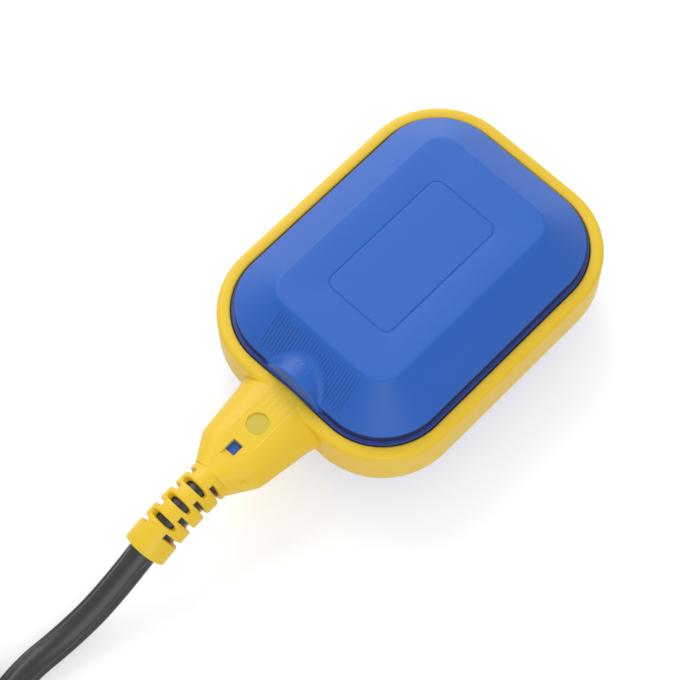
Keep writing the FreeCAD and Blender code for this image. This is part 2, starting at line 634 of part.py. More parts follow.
# ---------------------------------------------------------------- dry box
BOX_IN_X, BOX_IN_Y = "(box_length / 2 - box_wall)", "(box_width / 2 - box_wall)"
SCREW_X, SCREW_Y = "(box_length / 2 - boss_inset)", "(box_width / 2 - boss_inset)"
FLOOR = "(-box_tall / 2 + box_wall)"
PEDESTAL = f"({BALL_Z} - case_thick / 2)"
SWITCH_IN_BOX = f"(box_length / 2 - box_wall - ball_gap - ball_radius - {BALL_REST})"
FIX_POINTS = [("(-pin_stand - fix_inset)", f"({CASE_HIGH} - fix_inset)"),
              ("(-pin_stand - fix_inset - fix_deep)", f"({CASE_HIGH} - fix_inset - fix_long)")]
TAB_ROWS = ["blade_pivot", CONTACT_Y, "closed_tab"]
CORNERS = [(-1, -1), (-1, 1), (1, -1), (1, 1)]


def capsule_tray():
    body = new_body("capsule_tray", BOX_X)
    wall = new_sketch(body, "wall", z="-box_tall / 2")
    rounded(wall, "box_length / 2", "box_width / 2", "box_corner")
    extrude(body, wall, "box_tall / 2")
    room = new_sketch(body, "room")
    rounded(room, BOX_IN_X, BOX_IN_Y, "box_corner - box_wall")
    extrude(body, room, "box_tall / 2 - box_wall", cut=True)
    for along, across in CORNERS:
        spot = (f"{along} * {SCREW_X}", f"{across} * {SCREW_Y}")
        boss = new_sketch(body, f"boss_{along + 1}{across + 1}", z=FLOOR)
        circle(boss, *spot, "boss_radius")
        extrude(body, boss, "box_tall / 2 - box_wall")
        pilot = new_sketch(body, f"pilot_{along + 1}{across + 1}")
        circle(pilot, *spot, "screw_radius + seat_gap")
        extrude(body, pilot, "box_tall / 2 - box_wall", cut=True)
    for side in (-1, 1):
        rail = new_sketch(body, f"rail_{side + 1}", z=FLOOR)
        rectangle(rail, "rail_start", f"{BOX_IN_X} + box_wall / 2",
                  f"{side} * (ball_radius + ball_gap + rail_wall / 2) - rail_wall / 2",
                  f"{side} * (ball_radius + ball_gap + rail_wall / 2) + rail_wall / 2")
        extrude(body, rail, "box_tall / 2 - box_wall - gasket_thick")
    stand = new_sketch(body, "stand", z=FLOOR)
    rectangle(stand, f"{SWITCH_IN_BOX} + {CASE_BACK}", f"{SWITCH_IN_BOX} - pin_stand",
              CASE_LOW, CASE_HIGH)
    extrude(body, stand, f"{PEDESTAL} - {FLOOR} - seat_gap")
    for index, (x, y) in enumerate(FIX_POINTS):
        pilot = new_sketch(body, f"fix_{index}", z=PEDESTAL)
        circle(pilot, f"{SWITCH_IN_BOX} + {x}", y, "screw_radius + seat_gap")
        extrude(body, pilot, f"{PEDESTAL} + box_tall / 2 - box_wall / 2", cut=True)
    entry = new_sketch(body, "entry", "YZ_Plane", z=f"-{BOX_IN_X} + box_wall / 4")
    rectangle(entry, "-entry_half", "entry_half", "-entry_drop - entry_tall / 2",
              "-entry_drop + entry_tall / 2")
    extrude(body, entry, "2 * box_wall", cut=True)
    return body


def capsule_gasket():
    body = new_body("capsule_gasket", BOX_X)
    ring = new_sketch(body, "ring")
    rounded(ring, "box_length / 2", "box_width / 2", "box_corner")
    rounded(ring, BOX_IN_X, BOX_IN_Y, "box_corner - box_wall")
    extrude(body, ring, "gasket_thick")
    return body


def capsule_cover():
    body = new_body("capsule_cover", BOX_X)
    wall = new_sketch(body, "wall", z="gasket_thick")
    rounded(wall, "box_length / 2", "box_width / 2", "box_corner")
    extrude(body, wall, "box_tall / 2 - gasket_thick")
    room = new_sketch(body, "room", z="box_tall / 2 - box_wall")
    rounded(room, BOX_IN_X, BOX_IN_Y, "box_corner - box_wall")
    extrude(body, room, "box_tall / 2", cut=True)
    for along, across in CORNERS:
        spot = (f"{along} * {SCREW_X}", f"{across} * {SCREW_Y}")
        boss = new_sketch(body, f"boss_{along + 1}{across + 1}", z="gasket_thick")
        circle(boss, *spot, "boss_radius")
        extrude(body, boss, "box_tall / 2 - box_wall / 2 - gasket_thick")
        hole = new_sketch(body, f"hole_{along + 1}{across + 1}", z="box_tall / 2")
        circle(hole, *spot, "screw_radius + seat_gap")
        extrude(body, hole, "box_tall", cut=True)
        sink = new_sketch(body, f"sink_{along + 1}{across + 1}", z="box_tall / 2")
        circle(sink, *spot, "head_radius + 2 * seat_gap")
        extrude(body, sink, "head_tall + seat_gap", cut=True)
    keeper = new_sketch(body, "keeper", z=f"{BALL_Z} + ball_radius + ball_gap")
    rectangle(keeper, "rail_start", BOX_IN_X, "-keeper_thick / 2", "keeper_thick / 2")
    extrude(body, keeper, f"box_tall / 2 - box_wall / 2 - ({BALL_Z}) - ball_radius - ball_gap")
    return body


def capsule_screws():
    screws = [screw(f"capsule_screw_{along + 1}{across + 1}", f"{along} * {SCREW_X}",
                    f"{across} * {SCREW_Y}", "box_tall / 2 - head_tall", "screw_long")
              for along, across in CORNERS]
    return join("capsule_screws", "Compound", screws, BOX_X, "0", MID_Z)


def wire_seal():
    """Moulded plug in the box's wire entry, with one hole for each core."""
    body = new_body("wire_seal", BOX_X)
    plug = new_sketch(body, "plug", "YZ_Plane", z="-box_length / 2")
    rectangle(plug, "-entry_half + seat_gap", "entry_half - seat_gap",
              "-entry_drop - entry_tall / 2 + seat_gap", "-entry_drop + entry_tall / 2 - seat_gap")
    for step in (-1, 0, 1):
        circle(plug, f"{step} * core_pitch", "-entry_drop", "core_radius + seat_gap")
    extrude(body, plug, "box_wall")
    return body


# ---------------------------------------------------------------- ball, lever and switch
def steel_ball():
    ball = doc.addObject("Part::Sphere", "steel_ball")
    bind(ball, "Radius", "ball_radius")
    place(ball, f"{SWITCH_X} + {BALL_REST}", "0", f"{MID_Z} + {BALL_Z}")
    return ball


def switch_frame(thing):
    """Stands a piece in the switch's frame: the pin's plane, the ball's path and its height."""
    place(thing, SWITCH_X, "0", f"{MID_Z} + {BALL_Z}")
    return thing


def actuator_lever():
    """Sheet lever rolled round its pin, drawn at rest, swung towards the ball."""
    blade = block("lever_sheet", "-lever_thick / 2", "lever_thick / 2", "0", "lever_long",
                  "-lever_tall / 2", "lever_tall / 2")
    hub = rod("lever_hub", ("0", "0", "-lever_tall / 2"), "hub_radius", "lever_tall")
    eye = rod("lever_eye", ("0", "0", "-lever_tall"), "pin_radius + pin_gap", "2 * lever_tall")
    solid = join("lever_solid", "MultiFuse", [blade, hub])
    lever = join("actuator_lever", "Cut", (solid, eye))
    lever.Placement = FreeCAD.Placement(Vector(), FreeCAD.Rotation(Vector(0, 0, 1), -1.0))
    bind(lever, "Placement.Rotation.Angle", "-lever_angle")
    place(lever, SWITCH_X, "-lever_reach", f"{MID_Z} + {BALL_Z}")
    return lever


def lever_pin():
    pin = rod("lever_pin", ("0", "0", "0"), "pin_radius", f"2 * {EAR_OUT}")
    place(pin, SWITCH_X, "-lever_reach", f"{MID_Z} + {BALL_Z} - {EAR_OUT}")
    return pin


def switch_case():
    """Tub of the snap switch with fixing bosses, plunger hole and the ears of the lever pin."""
    body = new_body("switch_case", SWITCH_X, "0", f"{MID_Z} + {BALL_Z}")
    wall = new_sketch(body, "wall", z="-case_thick / 2")
    rectangle(wall, CASE_BACK, "-pin_stand", CASE_LOW, CASE_HIGH)
    extrude(body, wall, f"case_thick / 2 + {LID_LOW}")
    room = new_sketch(body, "room", z=LID_LOW)
    rectangle(room, f"{CASE_BACK} + case_wall", "-pin_stand - case_wall",
              f"{CASE_LOW} + case_wall", f"{CASE_HIGH} - case_wall")
    extrude(body, room, f"case_thick / 2 + {LID_LOW} - case_wall", cut=True)
    for index, (x, y) in enumerate(FIX_POINTS):
        boss = new_sketch(body, f"boss_{index}", z="-case_thick / 2 + case_wall / 2")
        circle(boss, x, y, "fix_boss")
        extrude(body, boss, f"case_thick / 2 + {LID_LOW} - case_wall / 2")
    for index, (x, y) in enumerate(FIX_POINTS):
        hole = new_sketch(body, f"hole_{index}", z="case_thick")
        circle(hole, x, y, "fix_hole")
        extrude(body, hole, "2 * case_thick", cut=True)
    for side in (-1, 1):
        low = f"{side} * ({EAR_OUT} - ear_thick / 2) - ear_thick / 2"
        ear = new_sketch(body, f"ear_{side + 1}", z=low)
        outline(ear, [("-pin_stand - case_wall / 2", "-lever_reach - hub_radius"),
                      ("0", "-lever_reach - hub_radius", "hub_radius"),
                      ("hub_radius", "-lever_reach", "hub_radius"),
                      ("0", "-lever_reach + hub_radius"),
                      ("-pin_stand - case_wall / 2", "-lever_reach + hub_radius")])
        extrude(body, ear, "ear_thick")
    eye = new_sketch(body, "eye", z="case_thick")
    circle(eye, "0", "-lever_reach", "pin_radius + pin_gap")
    extrude(body, eye, "2 * case_thick", cut=True)
    gate = new_sketch(body, "gate", "YZ_Plane", z="-pin_stand + case_wall")
    circle(gate, PLUNGER_Y, "0", "plunger_radius + plunger_gap")
    extrude(body, gate, "2.5 * case_wall", cut=True)
    for index, y in enumerate(TAB_ROWS):
        gap = new_sketch(body, f"tab_gap_{index}", "YZ_Plane", z=f"{CASE_BACK} + 1.5 * case_wall")
        rectangle(gap, f"{y} - tab_thick / 2 - seat_gap", f"{y} + tab_thick / 2 + seat_gap",
                  "-tab_wide / 2 - seat_gap", "tab_wide / 2 + seat_gap")
        extrude(body, gap, "3 * case_wall", cut=True)
    return body


def switch_cover():
    body = new_body("switch_cover", SWITCH_X, "0", f"{MID_Z} + {BALL_Z}")
    lid = new_sketch(body, "lid", z=LID_LOW)
    rectangle(lid, CASE_BACK, "-pin_stand", CASE_LOW, CASE_HIGH)
    for x, y in FIX_POINTS:
        circle(lid, x, y, "fix_hole")
    extrude(body, lid, "lid_thick")
    return body


def switch_screws():
    screws = [screw(f"switch_screw_{index}", x, y, "case_thick / 2",
                    f"case_thick + {PEDESTAL} - {FLOOR}") for index, (x, y) in enumerate(FIX_POINTS)]
    return switch_frame(join("switch_screws", "Compound", screws))


def switch_plunger():
    """Button that the lever presses: tapered stem, retaining collar and inner nose."""
    tip = "(plunger_arm * tan(lever_angle) - lever_thick / 2 / cos(lever_angle) - tip_gap)"
    nose = "(-blade_place + blade_thick / 2 + plunger_gap)"
    collar = "(-pin_stand - case_wall - plunger_gap)"
    stem = rod("plunger_stem", (f"{collar} - case_wall", PLUNGER_Y, "0"), "plunger_radius",
               f"{tip} - tip_taper - {collar} + case_wall", (1, 0, 0))
    taper = cone("plunger_tip", (f"{tip} - tip_taper", PLUNGER_Y, "0"), "plunger_radius", "tip_flat",
                 "tip_taper", (1, 0, 0))
    ring = rod("plunger_collar", (f"{collar} - case_wall", PLUNGER_Y, "0"),
               "plunger_radius + 3 * plunger_gap", "case_wall", (1, 0, 0))
    inner = rod("plunger_inner", (nose, PLUNGER_Y, "0"), "plunger_nose",
                f"{collar} - {nose}", (1, 0, 0))
    return switch_frame(join("switch_plunger", "MultiFuse", [stem, taper, ring, inner]))


def contact_blade():
    """Springy strip with a round bead at its pivot and a contact rivet through its free end."""
    strip = block("blade_strip", "-blade_place - blade_thick / 2", "-blade_place + blade_thick / 2",
                  f"{CONTACT_Y} - contact_radius / 2", "blade_pivot + blade_thick",
                  "-blade_tall / 2", "blade_tall / 2")
    rivet = rod("blade_rivet", ("-blade_place - blade_thick / 2 - contact_stand", CONTACT_Y, "0"),
                "contact_radius", "blade_thick + 2 * contact_stand", (1, 0, 0))
    bead = rod("blade_bead", ("-blade_place", "blade_pivot", "-blade_tall / 2"), "bead_radius",
               "blade_tall")
    return switch_frame(join("contact_blade", "MultiFuse", [strip, rivet, bead]))


def straight_tab(label, y, inner):
    """A terminal that runs straight in to the given inner end."""
    return block(label, f"{CASE_BACK} - tab_long", inner, f"{y} - tab_thick / 2", f"{y} + tab_thick / 2",
                 "-tab_wide / 2", "tab_wide / 2")


def common_terminal():
    inner = "-blade_place - bead_radius - contact_gap"
    return switch_frame(join("common_terminal", "MultiFuse", [
        straight_tab("common_tab", "blade_pivot", inner),
        block("common_post", f"{inner} - tab_thick", inner, "blade_pivot - tab_thick",
              "blade_pivot + tab_thick", "-blade_tall / 2", "blade_tall / 2")]))


def normally_open_terminal():
    face = f"-blade_place - blade_thick / 2 - contact_stand - {CONTACT_TRAVEL} - contact_gap"
    rivet = rod("open_rivet", (f"{face} - contact_stand", CONTACT_Y, "0"), "contact_radius",
                "contact_stand", (1, 0, 0))
    tab = straight_tab("open_tab", CONTACT_Y, f"{face} - contact_stand")
    return switch_frame(join("normally_open_terminal", "MultiFuse", [tab, rivet]))


def normally_closed_terminal():
    """Strip that passes over the blade and comes down in front of its contact."""
    face = "-blade_place + blade_thick / 2 + contact_stand + contact_gap"
    low = "blade_tall / 2 + 3 * contact_gap"
    high = "blade_tall / 2 + 3 * contact_gap + tab_thick"
    y = "closed_tab"
    return switch_frame(join("normally_closed_terminal", "MultiFuse", [
        straight_tab("closed_strip", y, f"{CASE_BACK} + case_wall + tab_thick"),
        block("closed_riser", f"{CASE_BACK} + case_wall", f"{CASE_BACK} + case_wall + tab_thick",
              f"{y} - tab_thick / 2", f"{y} + tab_thick / 2", "-tab_wide / 2", high),
        block("closed_bridge", f"{CASE_BACK} + case_wall", f"{face} + tab_thick",
              f"{y} - tab_thick", f"{y} + tab_thick", low, high),
        block("closed_arm", face, f"{face} + tab_thick", f"{CONTACT_Y} - contact_radius",
              f"{y} + tab_thick", low, high),
        block("closed_contact", face, f"{face} + tab_thick", f"{CONTACT_Y} - contact_radius",
              f"{CONTACT_Y} + contact_radius", "-contact_radius", high)]))


# ---------------------------------------------------------------- wires and cable
def path_of(points):
    """Straight runs joined by tangent arcs, each as large as its two runs allow."""
    edges, radii, here = [], [], points[0]
    for before, corner, after in zip(points, points[1:], points[2:]):
        back, ahead = (before - corner), (after - corner)
        run = min(back.Length, ahead.Length)
        back, ahead = back.normalize(), ahead.normalize()
        turn = math.pi - back.getAngle(ahead)
        cut = 0.45 * run
        radii.append(cut / math.tan(turn / 2))
        start, end = corner + back * cut, corner + ahead * cut
        middle = (back + ahead).normalize()
        depth = radii[-1] / math.cos(turn / 2) - radii[-1]
        edges += [Part.LineSegment(here, start).toShape(),
                  Part.Arc(start, corner + middle * depth, end).toShape()]
        here = end
    edges.append(Part.LineSegment(here, points[-1]).toShape())
    return Part.Wire(edges), radii


def pipe(path, radius):
    """Solid of a round section swept along a path, checked against section times length."""
    first = path.Edges[0]
    start = first.valueAt(first.FirstParameter)
    along = first.tangentAt(first.FirstParameter)
    ring = Part.Wire(Part.makeCircle(radius, start, along))
    solid = path.makePipeShell([ring], True, False)
    expected = math.pi * radius ** 2 * path.Length
    if abs(solid.Volume / expected - 1) > 0.01:
        raise ValueError("a pipe's volume differs from its section times its length")
    return solid


def feature(label, shape, x="0", y="0", z="0"):
    """A Part::Feature for a shape made by function, with its Placement set afterwards."""
    made = doc.addObject("Part::Feature", label)
    made.Label = label
    made.Shape = shape
    place(made, x, y, z)
    return made


def tube(label, points, radius):
    """A wire or cable through points of the row frame."""
    path, radii = path_of(points)
    print(f"{label}: length {path.Length:.1f}, smallest radius {min(radii):.1f} of {len(radii)} bends")
    return feature(label, pipe(path, radius))


def cores():
    """The three cores, from the stripped sheath through the wire seal to the terminals."""
    mid_z, spread, pitch = number(MID_Z), number("core_spread"), number("core_pitch")
    start_x, wall_x = number(f"{RIM_X} - sheath_end + seat_gap"), number(f"{BOX_X} - box_length / 2")
    tab_x = number(f"{SWITCH_X} + {CASE_BACK} - tab_long - seat_gap")
    straight, line_up, run_in = number("core_straight"), number("core_line_up"), number("core_run_in")
    low, tab_z = mid_z - number("entry_drop"), mid_z + number(BALL_Z)
    # label: place in the sheath, hole of the wire seal, terminal, how far in it turns to its side
    routes = {"core_common": (spread, -0.6 * spread, 1, "blade_pivot", 4.1),
              "core_normally_closed": (0.0, spread, 0, "closed_tab", 6.3),
              "core_normally_open": (-spread, -0.6 * spread, -1, CONTACT_Y, 4.1)}
    made = []
    for label, (y, z, hole, terminal, turn_at) in routes.items():
        start, hole_y, tab_y = Vector(start_x, y, mid_z + z), hole * pitch, number(terminal)
        turn_x = wall_x + number("box_wall") + turn_at
        made.append(tube(label, [
            start, start + Vector(straight, 0, 0), Vector(wall_x - line_up, hole_y, low),
            Vector(turn_x, hole_y, low), Vector(tab_x - run_in, tab_y, tab_z),
            Vector(tab_x, tab_y, tab_z)], number("core_radius")))
    return made


def cable_in_neck():
    """The held stretch of cable: straight through the gland and sleeve, then along the sag."""
    start = Vector(number(RIM_X) - number("sheath_end"), 0, number(MID_Z))
    bend = Vector(number(RIM_X) - number("relief_start"), 0, number(MID_Z))
    radius, angle = number("relief_bend"), math.radians(number("relief_angle"))

    def on_sag(turn):
        return bend + Vector(-radius * math.sin(turn), 0, -radius * (1 - math.cos(turn)))

    path = Part.Wire([Part.LineSegment(start, bend).toShape(),
                      Part.Arc(bend, on_sag(angle / 2), on_sag(angle)).toShape()])
    print(f"cable_in_neck: length {path.Length:.1f}, radius {radius:.1f}")
    return feature("cable_in_neck", pipe(path, number("cable_radius")))


# Points of the free cable on the floor, before it comes to the coil, in the rim's frame:
# distance from the rim centre towards the cable, side, height of the axis above the floor.
CABLE_ROUTE = [(124.0, -0.3, 9.0), (139.5, 1.0, 4.45), (155.0, 2.4, 4.4)]
COIL_APPROACH = 16.0        # length of the last run before the coil
COIL_LIFT = "(tie_thick + tie_gap)"


def coil_point(direction, radius, height):
    """A point round the coil's middle: direction in degrees, height above the floor."""
    turn = math.radians(direction)
    return Vector(number(RIM_X) - number("coil_place") + radius * math.cos(turn),
                  number("coil_side") + radius * math.sin(turn), height)


def coil_radius_of(layer_turn):
    """Radius of a turn, counted from the innermost."""
    return number("coil_radius") + 2 * number("cable_radius") * (
        layer_turn - (number("coil_turns") - 1) / 2)


def cable_route():
    """The free cable's points in the row frame, from the strain relief's mouth to the coil."""
    rim_x, angle = number(RIM_X), math.radians(number("relief_angle"))
    mouth = Vector(rim_x - number("relief_start") - number("relief_bend") * math.sin(angle), 0,
                   number(MID_Z) - number("relief_bend") * (1 - math.cos(angle)))
    entry = number("coil_entry")
    outer = coil_radius_of(number("coil_turns") - 1)
    joint = coil_point(entry, outer, number(f"{COIL_LIFT} + cable_radius"))
    turn = math.radians(entry)
    back = Vector(-math.sin(turn), math.cos(turn), 0) * COIL_APPROACH
    middle = [Vector(rim_x - away, side, height) for away, side, height in CABLE_ROUTE]
    return [mouth] + middle + [joint + back, joint]


def cable_run():
    return tube("cable_run", cable_route(), number("cable_radius"))


# Corners of the coil's section, in turns from its inner side and from its bottom.
SECTION_END = [(0, 0), (3, 0), (3, 3), (1, 3), (1, 2), (0, 2)]
SECTION_LEADS = [(0, 0), (3, 0), (3, 3), (2, 3), (2, 2), (0, 2)]
SECTION_SLOPE = [(0, 0), (3, 0), (3, 2), (2.15, 2), (2.15, 3), (1.15, 3), (1.15, 2), (0, 2)]
SECTION_ENTRY = [(0, 0), (2, 0), (2, 1), (3, 1), (3, 3), (1, 3), (1, 2), (0, 2)]
SECTION_BEVEL = 0.45        # bevel of a section's outer corners, in turns


def coil_sector(corners, start, end):
    """Stretch of the coil's outer shape, clockwise between two directions, with bevelled edges."""
    turn = 2 * number("cable_radius")
    inner = coil_radius_of(0) - turn / 2
    points = []
    for index, here in enumerate(corners):
        before, after = corners[index - 1], corners[(index + 1) % len(corners)]
        into, out = (here[0] - before[0], here[1] - before[1]), (after[0] - here[0], after[1] - here[1])
        if into[0] * out[1] < into[1] * out[0]:         # an inner corner stays sharp
            points.append(here)
            continue
        for (x, z), side in ((into, -1), (out, 1)):
            share = side * SECTION_BEVEL / max(abs(x), abs(z))
            points.append((here[0] + x * share, here[1] + z * share))
    section = Part.makePolygon([Vector(inner + x * turn, 0, z * turn) for x, z in points + points[:1]])
    stretch = Part.Face(section).revolve(Vector(), Vector(0, 0, 1), -((start - end) % 360))
    stretch.rotate(Vector(), Vector(0, 0, 1), start)
    return stretch


def cable_coil():
    """Outer shape of the wound cable: open where the cable joins it and where its leads lie."""
    entry, end = number("coil_entry"), number("coil_end")
    slope, rise = number("coil_slope"), number("coil_rise")
    sectors = [coil_sector(SECTION_END, entry, end), coil_sector(SECTION_LEADS, end, slope),
               coil_sector(SECTION_SLOPE, slope, rise), coil_sector(SECTION_ENTRY, rise, entry)]
    ring = sectors[0].multiFuse(sectors[1:]).removeSplitter()
    middle = coil_point(0, 0, number(COIL_LIFT))
    return feature("cable_coil", ring.Solids[0], str(middle.x), str(middle.y), str(middle.z))


# Cable ties: direction, and the turns that the strap goes round: place and layer of each.
TIES = [(240.0, [(0, 0), (2, 0), (2, 2), (1, 2), (0, 1)]),
        (65.0, [(0, 0), (2, 0), (2, 1), (1, 2), (0, 1)])]


def coil_ties():
    """Cable ties round the coil's section, each with its head inside the coil."""
    turn, gap = 2 * number("cable_radius"), number("tie_gap")
    lift, wide = number(COIL_LIFT), number("tie_wide")
    inner = coil_radius_of(0)
    head_long, head_tall = number("tie_head"), number("tie_head_tall")
    head_at = Vector(inner - turn / 2 - gap - head_tall, -head_long / 2, lift + turn - head_long / 2)
    head = Part.makeBox(head_tall, head_long, head_long, head_at)
    made = []
    for index, (direction, centres) in enumerate(TIES, 1):
        spine = Part.makePolygon([Vector(inner + place * turn, 0, lift + (layer + 0.5) * turn)
                                  for place, layer in centres + centres[:1]])
        inside = spine.makeOffset2D(turn / 2 + gap)
        outside = spine.makeOffset2D(turn / 2 + gap + number("tie_thick"))
        strap = Part.Face(outside).cut(Part.Face(inside)).extrude(Vector(0, wide, 0))
        strap.translate(Vector(0, -wide / 2, 0))
        tie = strap.fuse(head).removeSplitter()
        tie.rotate(Vector(), Vector(0, 0, 1), direction)
        middle = coil_point(0, 0, 0)
        made.append(feature(f"coil_tie_{index}", tie.Solids[0], str(middle.x), str(middle.y)))
    return made


def cable_leads():
    """Three stripped leads and their copper tips, lying on the coil's middle layer."""
    turn, radius = 2 * number("cable_radius"), number("core_radius")
    ring = coil_radius_of(1)
    base, long, gap = number(COIL_LIFT), number("lead_long"), number("seat_gap")
    spread, pitch, shift = number("core_spread"), number("lead_pitch"), number("lead_shift")
    rest = base + 2 * turn + radius + 4 * gap

    def spot(along, out, height):
        """A point at a distance along the turn from the sheath's end, off it to the outside."""
        direction = number("coil_end") - math.degrees(along / ring)
        return coil_point(direction, ring + out, height)

    # label: place in the sheath, place among the leads
    leads = {"lead_black": (spread, -0.6 * spread, 1), "lead_blue": (0.0, spread, 0),
             "lead_brown": (-spread, -0.6 * spread, -1)}
    made, tips = [], []
    for label, (out, up, rank) in leads.items():
        height, side = base + 2.5 * turn + up, shift + rank * pitch
        points = [spot(6 * gap, out, height), spot(0.12 * long, 0.9 * out + 0.1 * side, height),
                  spot(0.4 * long, 0.4 * out + 0.6 * side, 0.35 * height + 0.65 * rest),
                  spot(0.72 * long, side, rest), spot(long, 1.2 * side, rest)]
        made.append(tube(label, points, radius))
        ahead = (points[-1] - points[-2]).normalize()
        tips.append(Part.makeCylinder(number("tip_radius"), number("tip_long"), points[-1], ahead))
    made.append(feature("lead_tips", Part.makeCompound(tips)))
    return made


# Stretches of the wound cable in their order: degrees round the coil, and the place in the layer,
# 0 for the innermost turn. Halves stand for the stretches that move over to the next turn.
WOUND = [(240, 2), (120, 1.5), (240, 1), (120, 0.5), (360, 0), (120, 0.5), (240, 1), (120, 1.5),
         (360, 2), (120, 1.5), (232, 1)]


def wound_length():
    """Length of the cable in the coil."""
    return sum(math.radians(degrees) * coil_radius_of(turn) for degrees, turn in WOUND)


# ---------------------------------------------------------------- the whole part
subparts = [
    surround_frame(), shell("upper_shell", False), shell("lower_shell", True),
    cable_grommet(), cable_clamp(), clamp_screws(),
    capsule_tray(), capsule_gasket(), capsule_cover(), capsule_screws(), wire_seal(),
    steel_ball(), actuator_lever(), lever_pin(), switch_case(), switch_cover(), switch_screws(),
    switch_plunger(), contact_blade(), common_terminal(), normally_open_terminal(),
    normally_closed_terminal(), *cores(), cable_in_neck(), cable_run(), cable_coil(), *coil_ties(),
    *cable_leads()]
doc.recompute()

for thing in doc.Objects:
    if {"Invalid", "Error"} & set(thing.State):
        raise RuntimeError(f"{thing.Label} did not rebuild: {thing.State}")
for subpart in subparts:
    if subpart.Shape.isNull() or not subpart.Shape.isValid():
        raise RuntimeError(f"{subpart.Label} has no valid shape")

os.makedirs("parts", exist_ok=True)
for subpart in subparts:
    subpart.Shape.exportStep(f"parts/{subpart.Label}.step")
    print(f"{subpart.Label}: {len(subpart.Shape.Solids)} solids, volume {subpart.Shape.Volume:.0f}")
print(f"ball travel {number(BALL_TRAVEL):.3f}, plunger travel {number(PLUNGER_TRAVEL):.3f},"
      f" blade swing {number(BLADE_SWING):.3f} degrees")
print(f"cable wound in the coil {wound_length():.0f}")
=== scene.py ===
# %% [markdown]
# A float level switch: a flat blue float held in a yellow rim, on a black three-core cable.
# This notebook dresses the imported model. Each step first says what the piece is on the real object,
# how it could be made, and why it is made this way here.

# %% Load the frame
import math
import bmesh
import bpy
from mathutils import Matrix, Vector


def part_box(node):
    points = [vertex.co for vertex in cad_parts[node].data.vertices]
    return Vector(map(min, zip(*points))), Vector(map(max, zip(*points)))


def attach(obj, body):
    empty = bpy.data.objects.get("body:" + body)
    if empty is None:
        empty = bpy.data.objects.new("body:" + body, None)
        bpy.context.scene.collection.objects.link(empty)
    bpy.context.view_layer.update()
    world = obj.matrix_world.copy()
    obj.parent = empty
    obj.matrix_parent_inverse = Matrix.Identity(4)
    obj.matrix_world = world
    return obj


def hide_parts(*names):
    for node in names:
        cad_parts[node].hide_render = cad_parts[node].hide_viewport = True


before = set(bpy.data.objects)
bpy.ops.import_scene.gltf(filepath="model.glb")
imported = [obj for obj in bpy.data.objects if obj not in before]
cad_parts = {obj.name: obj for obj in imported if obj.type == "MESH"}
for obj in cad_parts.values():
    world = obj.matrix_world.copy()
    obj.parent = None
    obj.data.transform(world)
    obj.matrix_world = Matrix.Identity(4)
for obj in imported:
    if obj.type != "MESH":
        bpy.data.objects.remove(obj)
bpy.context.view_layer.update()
MM = 0.001

# %% [markdown]
# All places come from two corners of the model. The rim's middle is half the rim's length behind the
# nose, and the parting plane of the two shells is the top of the lower one.

# %% Reference places
RIM_LONG = 106.8 * MM
rim_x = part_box("surround_frame")[1][0] - RIM_LONG / 2
mid_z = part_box("upper_shell")[0][2]
HOME = Vector((rim_x, 0, mid_z))
print(f"rim middle x {rim_x * 1000:.2f} mm, parting plane z {mid_z * 1000:.2f} mm")

# %% [markdown]
# The camera stands above the cable side and looks down steeply, turned a little about its own axis.
# A long lens from further away keeps the float's edges nearly parallel, so that its proportions show.
# The turn about the axis is a small mix of the level and the upright direction of the view.

# %% Camera
AIM = Vector((1.04, 1.0, 29.315)) * MM
AZIMUTH, ELEVATION, ROLL = math.radians(-44.411), math.radians(65.926), math.radians(-1.733)
DISTANCE, LENS = 624.584 * MM, 116.47

camera_data = bpy.data.cameras.new("camera")
camera_data.lens, camera_data.sensor_width = LENS, 36.0
camera = bpy.data.objects.new("camera", camera_data)
bpy.context.scene.collection.objects.link(camera)
back = Vector((math.sin(AZIMUTH) * math.cos(ELEVATION), -math.cos(AZIMUTH) * math.cos(ELEVATION),
               math.sin(ELEVATION)))
level = Vector((0, 0, 1)).cross(back).normalized()
over = back.cross(level)
right = level * math.cos(ROLL) + over * math.sin(ROLL)
up = over * math.cos(ROLL) - level * math.sin(ROLL)
turned = Matrix((right, up, back)).transposed().to_4x4()
camera.matrix_world = Matrix.Translation(AIM + back * DISTANCE) @ turned
bpy.context.scene.camera = camera
bpy.context.scene.view_settings.view_transform = "Standard"
print(f"camera {DISTANCE / MM:.0f} mm away, {math.degrees(ELEVATION):.0f} degrees up, {LENS:.0f} mm lens")

# %% [markdown]
# Materials are trees of nodes. One small function adds a node, sets its properties and fills its
# inputs, each with a value or with another node's output. A second one turns a written colour into
# the linear numbers that the renderer uses.

# %% Helpers for materials
def add(tree, kind, inputs=(), **settings):
    """A node of a kind, with its settings; inputs are pairs of a socket and a value or an output."""
    made = tree.nodes.new(kind)
    for name, value in settings.items():
        setattr(made, name, value)
    for socket, value in dict(inputs).items():
        if isinstance(value, bpy.types.NodeSocket):
            tree.links.new(value, made.inputs[socket])
        else:
            made.inputs[socket].default_value = value
    return made


def colour(code):
    """Linear colour of an sRGB hex code."""
    parts = [int(code[i:i + 2], 16) / 255 for i in (1, 3, 5)]
    return [p / 12.92 if p <= 0.04045 else ((p + 0.055) / 1.055) ** 2.4 for p in parts] + [1.0]


def new_material(name):
    """An empty material, its tree and its output."""
    material = bpy.data.materials.new(name)
    material.use_nodes = True
    material.node_tree.nodes.clear()
    return material, material.node_tree, add(material.node_tree, "ShaderNodeOutputMaterial")


print("a written mid grey of #808080 is", round(colour("#808080")[0], 3), "in linear light")

# %% [markdown]
# A studio table is a white sheet that runs out of sight. One large square does for it. What the camera
# and a gloss see of it is lifted to white, while the light that it throws back on the object stays
# plain, so the soft shadow stays. A stronger lamp would whiten it too, but would wash out the colours.

# %% Floor and world
TABLE_HALF, TABLE_LIFT, WORLD_STRENGTH = 3.0, 0.42, 0.57


